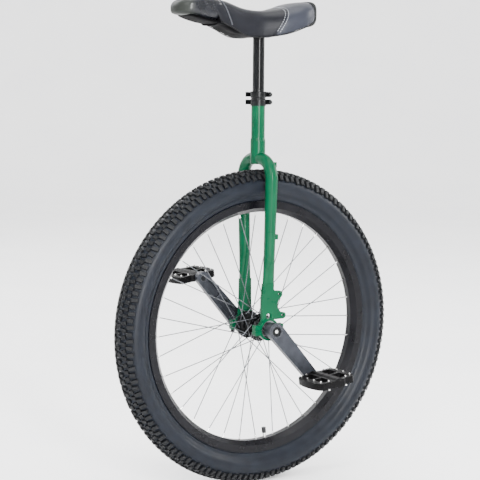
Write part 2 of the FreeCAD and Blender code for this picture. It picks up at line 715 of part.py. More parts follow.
def make_pedal_body(side):
    """Platform of two bowed bars joined by ribs to a barrel round the spindle."""
    name = "pedal_body_" + side_name(side)
    body = new_body(name)
    half, near = "pedal_length / 2", "pedal_gap"
    far = "pedal_gap + pedal_width"
    middle = "pedal_gap + pedal_width / 2"
    plan = new_sketch(body, name + "_plan", "XZ_Plane")
    bow = "pedal_width * 1.6"
    outline(plan, [(f"{half} - 7", f"{near} + 2"), (half, f"{near} + 9", bow), (half, f"{far} - 9"),
                   (f"{half} - 7", far), ("20", far), ("14", f"{far} + 3"), ("-14", f"{far} + 3"),
                   ("-20", far), (f"-({half} - 7)", far), (f"-({half})", f"{far} - 9", bow),
                   (f"-({half})", f"{near} + 9"), (f"-({half} - 7)", f"{near} + 2"),
                   ("-20", f"{near} + 4"), ("-13", near), ("13", near), ("20", f"{near} + 4")])
    pad(body, plan, "pedal_depth", both=True)
    windows = new_sketch(body, name + "_windows", "XZ_Plane")
    edge, hub = f"{half} - 11", "pedal_barrel + 3"
    for index, (start, end) in enumerate(((f"{near} + 13", f"{middle} - 4"), (f"{middle} + 4", f"{far} - 11"))):
        for sign in ("", "-"):
            outline(windows, [(f"{sign}({hub})", start), (f"{sign}({edge} - 4)", start),
                              (f"{sign}({edge})", f"{start} + 5"), (f"{sign}({edge})", f"{end} - 5"),
                              (f"{sign}({edge} - 4)", end), (f"{sign}({hub})", end)],
                    f"window{index}{len(sign)}")
    pocket(body, windows, "pedal_depth + 2", both=True)
    barrel = new_sketch(body, name + "_barrel", "XY_Plane", near)
    ring(barrel, "0", "0", "pedal_barrel")
    pad(body, barrel, "pedal_width + 2.5")
    bore = new_sketch(body, name + "_bore", "XY_Plane", "pedal_gap + pedal_width - 8")
    ring(bore, "0", "0", "spindle_radius + 1.2")
    pocket(body, bore, "pedal_width")
    body.Placement = pedal_frame(side)
    keep(body, name)


def make_pedal_hardware(side):
    """Spindle, bushes and grip pins of one pedal, and its outer lock nut."""
    frame = pedal_frame(side)
    near, length = size("pedal_gap"), size("pedal_width")
    radius, gap = size("spindle_radius"), size("fit_gap")
    outwards = Vector(0, 0, 1)
    at = lambda height: Vector(0, 0, height)
    screw = Part.makeCylinder(radius, size("crank_arm"), at(-size("crank_arm")))
    collar = Part.makeCylinder(radius + 1.8, near - 1, at(0))
    inner = Part.makeCylinder(radius - 1.5, length - 26, at(near - 1))
    outer = Part.makeCylinder(radius - 3, 8, at(near + length - 27))
    spindle = screw.fuse([collar, inner, outer])
    name = side_name(side)
    keep(solid("pedal_spindle_" + name, spindle, frame), "pedal_spindle_" + name)
    bushes = []
    for start, depth, bore in ((near + 0.2, 16, radius - 1.5), (near + length - 45, 16, radius - 1.5)):
        sleeve = Part.makeCylinder(radius + 1.2, depth, at(start), outwards)
        bushes.append(sleeve.cut(Part.makeCylinder(bore + gap, depth, at(start), outwards)))
    keep(solid("pedal_bushes_" + name, Part.makeCompound(bushes), frame), "pedal_bushes_" + name)
    nut = Part.makeCylinder(radius - 0.4, 5, at(near + length - 25))
    nut = nut.cut(Part.makeCylinder(radius - 3, 5, at(near + length - 25)))
    nut.Placement = frame.multiply(nut.Placement)
    pins = []
    reach, depth = size("pedal_length") / 2 - 5.5, size("pedal_depth") / 2
    spots = [(front * (reach - abs(share) * 2), near + length * (0.5 + 0.38 * share))
             for front in (1, -1) for share in (-1, -0.33, 0.33, 1)]
    spots += [(front * 24, near + length - 5) for front in (1, -1)]
    spots += [(front * 24, near + 8.5) for front in (1, -1)]
    for across, out in spots:
        for up in (1, -1):
            start = Vector(across, up * depth, out)
            pins.append(rod(start, start + Vector(0, up * size("pin_height"), 0), size("pin_radius")))
    keep(solid("pedal_pins_" + name, Part.makeCompound(pins), frame), "pedal_pins_" + name)
    return nut


# Frame

NECK_FOOT = "2 * tyre_radius + crown_gap"
NECK_TOP = "2 * tyre_radius + crown_gap + neck_length"
ELBOW = "2 * tyre_radius + crown_gap + elbow_rise"


def make_neck():
    """Tube that holds the seat post, thicker where the legs join it and slotted at its top."""
    bore = "post_radius + fit_gap"
    root = f"{NECK_FOOT} + root_height"
    body = turned("frame_neck", [[(bore, NECK_FOOT), ("neck_root - 2.5", NECK_FOOT, "2.5"),
                                  ("neck_root", f"{NECK_FOOT} + 2.5"), ("neck_root", root),
                                  ("neck_radius", f"{root} + 7"), ("neck_radius", NECK_TOP),
                                  (bore, NECK_TOP)]], "XZ_Plane", "0")
    slot = new_sketch(body, "neck_slot", "YZ_Plane")
    half, top = "slot_width / 2", f"{NECK_TOP} + 1"
    foot = f"{NECK_TOP} - slot_length"
    outline(slot, [(f"-{half}", foot), (half, foot), (half, top), (f"-{half}", top)])
    pocket(body, slot, "neck_radius + 5")
    keep(body, "frame_neck")


def leg_run(name, inset, foot):
    """Stub, bend and straight of a leg as one solid, drawn in by an inset."""
    turn = Rotation(Vector(1, 1, 1), 120)
    shoulder = "leg_reach - elbow_radius"
    stub = primitive("Cylinder", name + "_stub", ("0", "0", ELBOW), ALONG_Y,
                     Radius=f"leg_radius - {inset}", Height=shoulder)
    bend = primitive("Torus", name + "_bend", ("0", shoulder, f"{ELBOW} - elbow_radius"), turn,
                     Radius1="elbow_radius", Radius2=f"leg_radius - {inset}", Angle3="90")
    top = primitive("Circle", name + "_top", ("0", "leg_reach", f"{ELBOW} - elbow_radius"),
                    Radius=f"leg_radius - {inset}")
    waist = primitive("Circle", name + "_waist",
                      ("0", "leg_foot_reach + (leg_reach - leg_foot_reach) * 0.3", f"{foot} + 62"),
                      Radius=f"leg_waist - {inset}")
    flat = primitive("Ellipse", name + "_flat", ("0", "leg_foot_reach", foot),
                     MajorRadius=f"leg_foot_width - {inset}", MinorRadius=f"leg_foot_depth - {inset}")
    straight = doc.addObject("Part::Loft", name + "_straight")
    straight.Sections = [top, waist, flat]
    straight.Solid = True
    straight.Ruled = True
    return joined(name, [stub, bend, straight])


def make_legs():
    """Two bent tubes, coped to the neck and flattened at the foot."""
    envelope = primitive("Cylinder", "neck_envelope", ("0", "0", f"{NECK_FOOT} - 10"),
                         Radius="neck_root", Height="root_height + 10")
    outside = leg_run("leg_outside", "0", "plate_top")
    inside = leg_run("leg_inside", "leg_wall", "plate_top + 5")
    hollow = joined("leg_hollow", [inside, envelope])
    left = without("frame_leg_left", outside, hollow)
    keep(left, "frame_leg_left")
    keep(mirrored("frame_leg_right", left), "frame_leg_right")


def make_brake_mount():
    """Left drop-out plate with two tabs for a brake caliper and a round window."""
    low_x, low_z = "-lower_tab_back", "lower_tab_rise"
    high_x, high_z = "-upper_tab_back", "upper_tab_rise"
    top = "plate_top - tyre_radius"
    front_x, rear_x = 20, 15
    seat = "sqrt(housing_radius ^ 2 - {0} ^ 2)"
    diagonal = "tab_radius * cos(45)"
    corners = [("leg_foot_width", top), ("19", f"{top} - 33"), ("19.5", f"{top} - 59"),
               ("17.5", f"{top} - 81"), (f"{front_x}", seat.format(front_x), "housing_radius"),
               (f"-{rear_x}", seat.format(rear_x)), ("-14", f"{low_z} - tab_radius"),
               (low_x, f"{low_z} - tab_radius", "-tab_radius"),
               (f"{low_x} - tab_radius", low_z, "-tab_radius"),
               (f"{low_x} - {diagonal}", f"{low_z} + {diagonal}"),
               (f"{low_x} + 6.3", f"{low_z} + 9", "20.5"), (f"{high_x} - 0.8", f"{high_z} - 11"),
               (f"{high_x} - {diagonal}", f"{high_z} - {diagonal}", "-tab_radius"),
               (f"{high_x} - tab_radius", high_z, "-tab_radius"), (high_x, f"{high_z} + tab_radius"),
               ("-18", f"{high_z} + tab_radius + 0.7", "6"), ("-13.5", f"{high_z} + tab_radius + 5"),
               ("-14", top)]
    body = slab("brake_mount", corners, "plate_face", "plate")
    holes = new_sketch(body, "brake_holes", "XZ_Plane", "-plate_face")
    ring(holes, low_x, low_z, "tab_hole_radius", "lower")
    ring(holes, high_x, high_z, "tab_hole_radius", "upper")
    ring(holes, "0.5", "lower_tab_rise", "plate_window", "window")
    pocket(body, holes, "plate", onwards=True)
    keep(body, "brake_mount")


def make_right_dropout():
    """Plain right drop-out plate."""
    top = "plate_top - tyre_radius"
    seat = "sqrt(housing_radius ^ 2 - 18 ^ 2)"
    corners = [("-leg_foot_width", top), ("-16", f"{top} - 50"), ("-18", seat, "-housing_radius"),
               ("18", seat), ("16", f"{top} - 50"), ("leg_foot_width", top)]
    keep(slab("dropout_right", corners, "plate - plate_face", "plate"), "dropout_right")


def make_housings():
    """Split bearing housings: the upper halves, the lower caps and their bolts."""
    bore = "bearing_radius + fit_gap"
    split = "split_gap / 2"
    bore_x = f"sqrt(({bore}) ^ 2 - ({split}) ^ 2)"
    shoulder = "sqrt(housing_radius ^ 2 - ear_height ^ 2)"
    soft = "housing_ear - 2.5"
    corners = [(bore_x, split), ("housing_ear", split), ("housing_ear", "ear_height - 2.5", "2.5"),
               (soft, "ear_height"), (shoulder, "ear_height", "housing_radius"),
               (f"-{shoulder}", "ear_height"), (f"-({soft})", "ear_height", "2.5"),
               ("-housing_ear", "ear_height - 2.5"), ("-housing_ear", split),
               (f"-{bore_x}", split, f"-({bore})"), ("0", bore, f"-({bore})")]
    uppers = []
    for side in (LEFT, RIGHT):
        name = "bearing_housing_" + side_name(side)
        outer = f"{side} * bearing_spacing / 2 + housing_width / 2"
        body = slab(name, corners, outer, "housing_width")
        holes = new_sketch(body, name + "_holes", "XY_Plane")
        for index, across in enumerate(("cap_bolt_reach", "-cap_bolt_reach")):
            ring(holes, across, f"{side} * bearing_spacing / 2", "cap_bolt_radius + 0.2", f"hole{index}")
        pocket(body, holes, onwards=True)
        keep(body, name)
        uppers.append(body)
    caps = [mirrored(f"cap_{index}", upper, Vector(0, 0, 1), AXLE) for index, upper in enumerate(uppers)]
    keep(group("bearing_caps", caps), "bearing_caps")
    middle, ear = size(AXLE), size("ear_height")
    bolts = []
    for across in (size("cap_bolt_reach"), -size("cap_bolt_reach")):
        for along in (size("bearing_spacing") / 2, -size("bearing_spacing") / 2):
            head = Vector(across, along, middle - ear)
            tip = Vector(across, along, middle + ear + 1)
            bolts.append(bolt(head, tip, size("cap_bolt_radius"), 5, 5.5, 2.5))
    keep(solid("bearing_cap_bolts", Part.makeCompound(bolts)), "bearing_cap_bolts")


def make_hose_guides():
    """Two small brake hose guides behind the left leg."""
    guides = []
    heights = ((f"{ELBOW} - 12.5", "leg_reach - elbow_radius + elbow_radius * cos(46)"),
               ("plate_top + 108", "leg_foot_reach + (leg_reach - leg_foot_reach) * 0.5"))
    for index, (up, along) in enumerate(heights):
        block = primitive("Box", f"guide_block_{index}", ("-leg_radius - 6.3", f"{along} - 4", f"{up} - 6"),
                          Length="6", Width="8", Height="12")
        hole = primitive("Cylinder", f"guide_hole_{index}", ("-leg_radius - 3.5", along, f"{up} - 7"),
                         Radius="1.8", Height="14")
        guides.append(without(f"guide_{index}", block, hole))
    keep(group("hose_guides", guides), "hose_guides")


# Seat clamp

UPPER_BAND = "2 * tyre_radius + crown_gap + neck_length - 6.5"
LOWER_BAND = f"{UPPER_BAND} - band_gap"


def make_clamp():
    """Collar with two bands, slotted behind, and ears for its two bolts."""
    foot = f"{NECK_TOP} + 0.5 - clamp_height"
    shell = primitive("Cylinder", "collar_shell", ("0", "0", foot), Radius="clamp_radius",
                      Height="clamp_height")
    rear = "-clamp_bolt_back - clamp_nut_radius"
    bands = (UPPER_BAND, LOWER_BAND)
    ears = [primitive("Box", f"collar_ears_{index}", (rear, "-clamp_ear", f"{up} - clamp_band / 2"),
                      Length="clamp_bolt_back", Width="2 * clamp_ear", Height="clamp_band")
            for index, up in enumerate(bands)]
    bore = primitive("Cylinder", "collar_bore", ("0", "0", f"{foot} - 1"),
                     Radius="neck_radius + fit_gap", Height="clamp_height + 2")
    slot = primitive("Box", "collar_slot", (f"{rear} - 1", "-slot_width / 2", f"{foot} - 1"),
                     Length="clamp_bolt_back + clamp_nut_radius + 1", Width="slot_width", Height="clamp_height + 2")
    waist = primitive("Torus", "collar_waist", ("0", "0", f"({UPPER_BAND} + {LOWER_BAND}) / 2"),
                      Radius1="clamp_radius + 1.6", Radius2="3")
    holes = [primitive("Cylinder", f"collar_hole_{index}", ("-clamp_bolt_back", "-clamp_ear - 1", up),
                       ALONG_Y, Radius="clamp_bolt_radius + 0.1", Height="2 * clamp_ear + 2")
             for index, up in enumerate(bands)]
    cutter = joined("collar_cutter", [bore, slot, waist] + holes)
    keep(without("clamp_collar", joined("collar_blank", [shell] + ears), cutter), "clamp_collar")


def make_lever(name, band):
    """Quick-release lever: a forked cam on an upright pin, with an arm that hugs the collar."""
    body = new_body(name, band)
    pivot_x, pivot_y = "-clamp_bolt_back", "-lever_pivot"
    plan = new_sketch(body, name + "_plan", "XY_Plane")
    outline(plan, [(pivot_x, f"{pivot_y} - lever_head", "114"), ("lever_tip", "-lever_pivot - 9"),
                   ("lever_tip + 2", "-lever_pivot - 5", "-114"),
                   (f"{pivot_x} + lever_head * cos(30)", f"{pivot_y} - lever_head / 2", "lever_head"),
                   (pivot_x, f"{pivot_y} + lever_head", "lever_head"),
                   (f"{pivot_x} - lever_head", pivot_y, "lever_head")])
    pad(body, plan, "lever_height", both=True)
    fork = new_sketch(body, name + "_fork", "XY_Plane")
    ring(fork, pivot_x, pivot_y, "lever_head + 2.5")
    pocket(body, fork, "lever_height - 5", both=True)
    hole = new_sketch(body, name + "_hole", "XY_Plane")
    ring(hole, pivot_x, pivot_y, "clamp_bolt_radius + fit_gap")
    pocket(body, hole, "lever_height + 2", both=True)
    keep(body, name)


def make_clamp_hardware():
    """The levers' bolts with their eyes, pins, washers and round nuts."""
    back, pivot = -size("clamp_bolt_back"), -size("lever_pivot")
    ear, shank, round_nut = size("clamp_ear"), size("clamp_bolt_radius"), size("clamp_nut_radius")
    skewers, pins, washers, nuts = [], [], [], []
    for band in (UPPER_BAND, LOWER_BAND):
        up = size(band)
        spot = lambda along, rise=0: Vector(back, along, up + rise)
        eye = rod(spot(pivot, -2.5), spot(pivot, 2.5), shank + 2)
        pin = rod(spot(pivot, -size("lever_height") / 2), spot(pivot, size("lever_height") / 2), shank)
        skewers.append(rod(spot(pivot), spot(ear + 8), shank).fuse(eye).cut(pin))
        pins.append(pin)
        face = pivot + size("lever_head") + 0.15
        hole = rod(spot(face), spot(-ear), shank + 0.1)
        washers.append(rod(spot(face), spot(-ear), round_nut).cut(hole))
        neck = spot(ear + 5)
        dome = Part.makeSphere(round_nut, neck).common(rod(neck, spot(ear + 5 + round_nut), round_nut))
        nut = rod(spot(ear + 0.1), neck, round_nut).fuse(dome).removeSplitter()
        nuts.append(nut.cut(rod(spot(ear), spot(ear + 8), shank)))
    for name, shapes in (("clamp_skewers", skewers), ("cam_pins", pins), ("cam_washers", washers),
                         ("clamp_nuts", nuts)):
        keep(solid(name, Part.makeCompound(shapes)), name)


# Seat post and saddle

POST_TOP = "2 * tyre_radius + crown_gap + neck_length + post_shown"


def make_post():
    """Seat post tube and the plate welded on its top."""
    foot = f"{POST_TOP} - post_length"
    tube = primitive("Cylinder", "post_tube", ("0", "0", foot), Radius="post_radius", Height="post_length")
    bore = primitive("Cylinder", "post_bore", ("0", "0", f"{foot} - 1"), Radius="post_radius - post_wall",
                     Height="post_length + 2")
    keep(without("seat_post", tube, bore), "seat_post")
    corner = ("-plate_bolt_rear - plate_margin", "-plate_bolt_side - plate_margin", POST_TOP)
    blank = primitive("Box", "plate_blank", corner, Height="post_plate",
                      Length="plate_bolt_front + plate_bolt_rear + 2 * plate_margin",
                      Width="2 * (plate_bolt_side + plate_margin)")
    holes = [primitive("Cylinder", f"plate_hole_{index}", (across, along, f"{POST_TOP} - 1"),
                       Radius="saddle_bolt_radius + 0.2", Height="post_plate + 2")
             for index, (across, along) in enumerate(BOLT_SPOTS)]
    keep(without("seat_post_plate", blank, joined("plate_holes", holes)), "seat_post_plate")


BOLT_SPOTS = [(across, along) for across in ("plate_bolt_front", "-plate_bolt_rear")
              for along in ("plate_bolt_side", "-plate_bolt_side")]

# Stations along the saddle, from the rear: share of the way from the cover's rear to its front,
# share of the way from waist to hip in half width, hem above the saddle's lowest point, and
# crown above the same point over the depth at the post.
STATIONS = ((0.00, 0.22, 43, 22), (0.06, 0.68, 37, 23), (0.17, 1.00, 30, 18.5), (0.32, 0.80, 18, 6.5),
            (0.45, 0.42, 5.5, 0.5), (0.56, 0.12, 0, 0), (0.70, 0.00, 3, 5), (0.86, 0.00, 21, 17.5),
            (1.00, 0.03, 35, 24))


def station_sizes(share, spread, hem, crown):
    """Place, half width, hem height and crown height of one station, in millimetres."""
    span = size("saddle_front + saddle_rear")
    across = -size("saddle_rear") + share * span
    half = size("saddle_waist") + spread * size("saddle_hip - saddle_waist")
    floor = size("saddle_floor")
    return across, half, floor + hem, floor + size("saddle_depth") + crown


def pad_section(across, half, low, high):
    """Section of the padding: flat below, with full sides and a crowned top."""
    rise = high - low
    side = [(half, 0), (half * 1.03, 0.30 * rise), (half * 0.93, 0.72 * rise), (half * 0.62, 0.95 * rise)]
    points = side + [(0, rise)] + [(-along, up) for along, up in reversed(side)]
    points = [Vector(across, along, low + up) for along, up in points]
    crown = Part.BSplineCurve()
    crown.interpolate(points)
    return Part.Wire([crown.toShape(), Part.makeLine(points[-1], points[0])])


def padded_loft(inset, drop, ends):
    """Loft through the saddle's stations, drawn in on the sides, top and ends."""
    sections = []
    for index, station in enumerate(STATIONS):
        across, half, low, high = station_sizes(*station)
        if index == 0:
            across += ends
        if index == len(STATIONS) - 1:
            across -= ends
        sections.append(pad_section(across, half - inset, low + drop, high - inset))
    return Part.makeLoft(sections, True)


def base_section(across, half, low, high):
    """Section of the base: a shallow dish with rounded lower corners."""
    rise = high - low
    points = [Vector(across, along, up) for along, up in
              ((half, high), (half * 0.9, high - 0.75 * rise), (0, low), (-half * 0.9, high - 0.75 * rise),
               (-half, high))]
    dish = Part.BSplineCurve()
    dish.interpolate(points)
    return Part.Wire([dish.toShape(), Part.makeLine(points[-1], points[0])])


def under_section(across, half, low, high):
    """Section of the space below the foam, which holds the base."""
    roof = size("base_top + 4 * pad_gap")
    corners = [Vector(across, side * (half + 20), low + up) for side, up in
               ((1, roof), (-1, roof), (-1, -20), (1, -20), (1, roof))]
    return Part.makePolygon(corners)


def make_saddle():
    """Cover, foam and base of the saddle, one inside the other."""
    wall, gap = size("cover_wall"), size("pad_gap")
    cover = padded_loft(0, 0, 0).cut(padded_loft(wall, -4, wall))
    keep(solid("saddle_cover", cover), "saddle_cover")
    inside = padded_loft(wall + gap, -4, wall + gap)
    below = Part.makeLoft([under_section(*station_sizes(*station)) for station in STATIONS], True)
    keep(solid("saddle_foam", inside.cut(below)), "saddle_foam")
    sections = []
    for index, station in enumerate(STATIONS):
        across, half, hem, crown = station_sizes(*station)
        droop = 14.3 * max(station[0] - 0.72, 0) / 0.28
        keel = max(hem + 3.2 - droop, size(f"{POST_TOP} + post_plate") + gap)
        ends = {0: wall + gap, len(STATIONS) - 1: -wall - gap}.get(index, 0)
        sections.append(base_section(across + ends, half - wall - 2 * gap, keel,
                                     hem + size("base_top")))
    seat = Part.makeBox(size("plate_bolt_front + plate_bolt_rear + 2 * plate_margin + 2 * pad_gap"),
                        size("2 * (plate_bolt_side + plate_margin + pad_gap)"), 20 + gap)
    seat.translate(Vector(size("-plate_bolt_rear - plate_margin - pad_gap"),
                          size("-plate_bolt_side - plate_margin - pad_gap"),
                          size(f"{POST_TOP} + post_plate") - 20))
    base = Part.makeLoft(sections, True).cut(seat)
    bolts, low = [], size(POST_TOP)
    for across, along in BOLT_SPOTS:
        head = Vector(size(across), size(along), low)
        tip = head + Vector(0, 0, size("post_plate") + 4)
        bolts.append(bolt(head, tip, size("saddle_bolt_radius"), 5, 3, 2))
    keep(solid("saddle_base", base.cut(Part.makeCompound(bolts))), "saddle_base")
    keep(solid("saddle_bolts", Part.makeCompound(bolts)), "saddle_bolts")


def oval_section(across, half, low, high):
    """Closed rounded section of a moulding."""
    middle, rise = (high + low) / 2, (high - low) / 2
    points = []
    for turn in range(0, 360, 30):
        angle = math.radians(turn)
        squash = (abs(math.cos(angle)) ** 4 + abs(math.sin(angle)) ** 4) ** -0.25
        points.append(Vector(across, half * squash * math.cos(angle), middle + rise * squash * math.sin(angle)))
    loop = Part.BSplineCurve()
    loop.interpolate(points, PeriodicFlag=True)
    return Part.Wire([loop.toShape()])


def make_saddle_ends():
    """Grab handle in front of the cover and bumper behind it."""
    front, floor = size("saddle_front + pad_gap"), size("saddle_floor")
    reach, waist = size("handle_reach"), size("saddle_waist")
    handle = ((0.0, 1.03, 24, 87), (0.33, 1.06, 28, 88), (0.63, 0.97, 34, 82), (0.85, 0.72, 40, 74),
              (1.0, 0.4, 46, 63))
    sections = [oval_section(front + share * reach, waist * wide, floor + low, floor + high)
                for share, wide, low, high in handle]
    keep(solid("front_handle", Part.makeLoft(sections, True)), "front_handle")
    rear, hip = -size("saddle_rear + pad_gap"), size("saddle_hip")
    bumper = ((0.0, 0.62, 33, 83), (0.6, 0.54, 36, 81), (1.0, 0.40, 43, 74))
    sections = [oval_section(rear - share * size("bumper_wall"), hip * wide, floor + low, floor + high)
                for share, wide, low, high in bumper]
    keep(solid("rear_bumper", Part.makeLoft(sections, True)), "rear_bumper")


# The whole unicycle

def make_all():
    """Make every sub-part in the document."""
    make_tyre()
    make_inner_tube()
    make_rim()
    make_rim_tape()
    nipples = make_spokes(LEFT, "spokes_left") + make_spokes(RIGHT, "spokes_right")
    keep(solid("spoke_nipples", Part.makeCompound(nipples)), "spoke_nipples")
    make_hub()
    make_axle()
    make_bearings()
    nuts = []
    for side in (LEFT, RIGHT):
        make_crank(side)
        make_pedal_body(side)
        nuts.append(make_pedal_hardware(side))
    keep(solid("pedal_lock_nuts", Part.makeCompound(nuts)), "pedal_lock_nuts")
    make_crank_bolts()
    make_neck()
    make_legs()
    make_brake_mount()
    make_right_dropout()
    make_housings()
    make_hose_guides()
    make_clamp()
    make_lever("qr_lever_upper", UPPER_BAND)
    make_lever("qr_lever_lower", LOWER_BAND)
    make_clamp_hardware()
    make_post()
    make_saddle()
    make_saddle_ends()
    doc.recompute()


def check_and_export():
    """Refuse any failed object or bad shape, then write one file for each sub-part."""
    for thing in doc.Objects:
        if {"Invalid", "Error"} & set(thing.State):
            raise RuntimeError(f"{thing.Name} failed: {thing.State}")
    os.makedirs("parts", exist_ok=True)
    for node in NODES:
        if node.Shape.isNull() or not node.Shape.isValid() or node.Shape.Volume <= 0:
            raise RuntimeError(f"{node.Label} has no valid shape")
    for node in NODES:
        node.Shape.exportStep(f"parts/{node.Label}.step")
    print(len(NODES), "sub-parts,", sum(len(node.Shape.Solids) for node in NODES), "solids")


fill_sheet()
make_all()
check_and_export()
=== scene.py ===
"""Looks of the off-road unicycle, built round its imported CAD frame."""

import logging
import math
from collections.abc import Iterable, Sequence
from dataclasses import dataclass
from enum import Enum
from typing import Any

import bmesh
import bpy
from mathutils import Matrix, Vector
from mathutils.bvhtree import BVHTree


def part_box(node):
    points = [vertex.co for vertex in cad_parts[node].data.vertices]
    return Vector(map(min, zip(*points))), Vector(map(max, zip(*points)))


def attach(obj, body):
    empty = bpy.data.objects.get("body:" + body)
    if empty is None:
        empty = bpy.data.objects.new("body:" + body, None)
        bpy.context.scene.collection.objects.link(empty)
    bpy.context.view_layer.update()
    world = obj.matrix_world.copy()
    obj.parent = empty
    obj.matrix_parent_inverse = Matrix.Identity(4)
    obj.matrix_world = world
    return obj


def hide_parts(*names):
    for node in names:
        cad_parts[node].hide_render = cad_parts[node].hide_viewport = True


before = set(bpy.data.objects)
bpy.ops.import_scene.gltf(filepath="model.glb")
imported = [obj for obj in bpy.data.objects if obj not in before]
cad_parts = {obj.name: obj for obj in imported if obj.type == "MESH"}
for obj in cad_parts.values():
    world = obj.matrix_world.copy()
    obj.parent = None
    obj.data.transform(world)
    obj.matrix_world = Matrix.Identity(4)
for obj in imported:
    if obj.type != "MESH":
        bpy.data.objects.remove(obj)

LOG = logging.getLogger("unicycle")
MM = 0.001
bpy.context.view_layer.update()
TYRE_LOW, TYRE_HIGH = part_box("tyre")
AXLE = (TYRE_LOW + TYRE_HIGH) / 2
TREAD_RADIUS = (TYRE_HIGH.x - TYRE_LOW.x) / 2
COVER_LOW, COVER_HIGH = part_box("saddle_cover")
RIM_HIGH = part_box("rim")[1]
PLATE_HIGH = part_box("seat_post_plate")[1]


class Surface(Enum):
    """How a finish's grain lies on the piece."""

    EVEN = "the same in every direction"
    RINGS = "in rings round the axle"
    LENGTHWAYS = "drawn out along the piece's height"


class Body(Enum):
    """Rigid bodies that new pieces ride on."""

    WHEEL = "wheel"
    SADDLE = "saddle"


def linear(colour: str) -> tuple[float, float, float, float]:
    """Turn an sRGB hex colour into linear values.

    Args:
        colour: Six hex digits, such as "1a9c73".

    Returns:
        Red, green, blue and alpha, as a shader socket takes them.
    """
    values = [int(colour[at:at + 2], 16) / 255 for at in (0, 2, 4)]
    red, green, blue = (v / 12.92 if v <= 0.04045 else ((v + 0.055) / 1.055) ** 2.4 for v in values)
    return red, green, blue, 1.0


def add_node(tree: bpy.types.NodeTree, kind: str, settings: dict[str, Any] | None = None,
             links: dict[str | int, bpy.types.NodeSocket] | None = None) -> bpy.types.Node:
    """Add one shader node with its settings and links.

    Args:
        tree: The material's node tree.
        kind: The node's type name.
        settings: Values by input name, or by property name where no input has it.
        links: Output sockets to join, by input name or number.

    Returns:
        The new node.
    """
    node = tree.nodes.new(kind)
    for name, value in (settings or {}).items():
        if hasattr(node, name):
            setattr(node, name, value)
        else:
            node.inputs[name].default_value = value
    for name, socket in (links or {}).items():
        tree.links.new(socket, node.inputs[name])
    return node


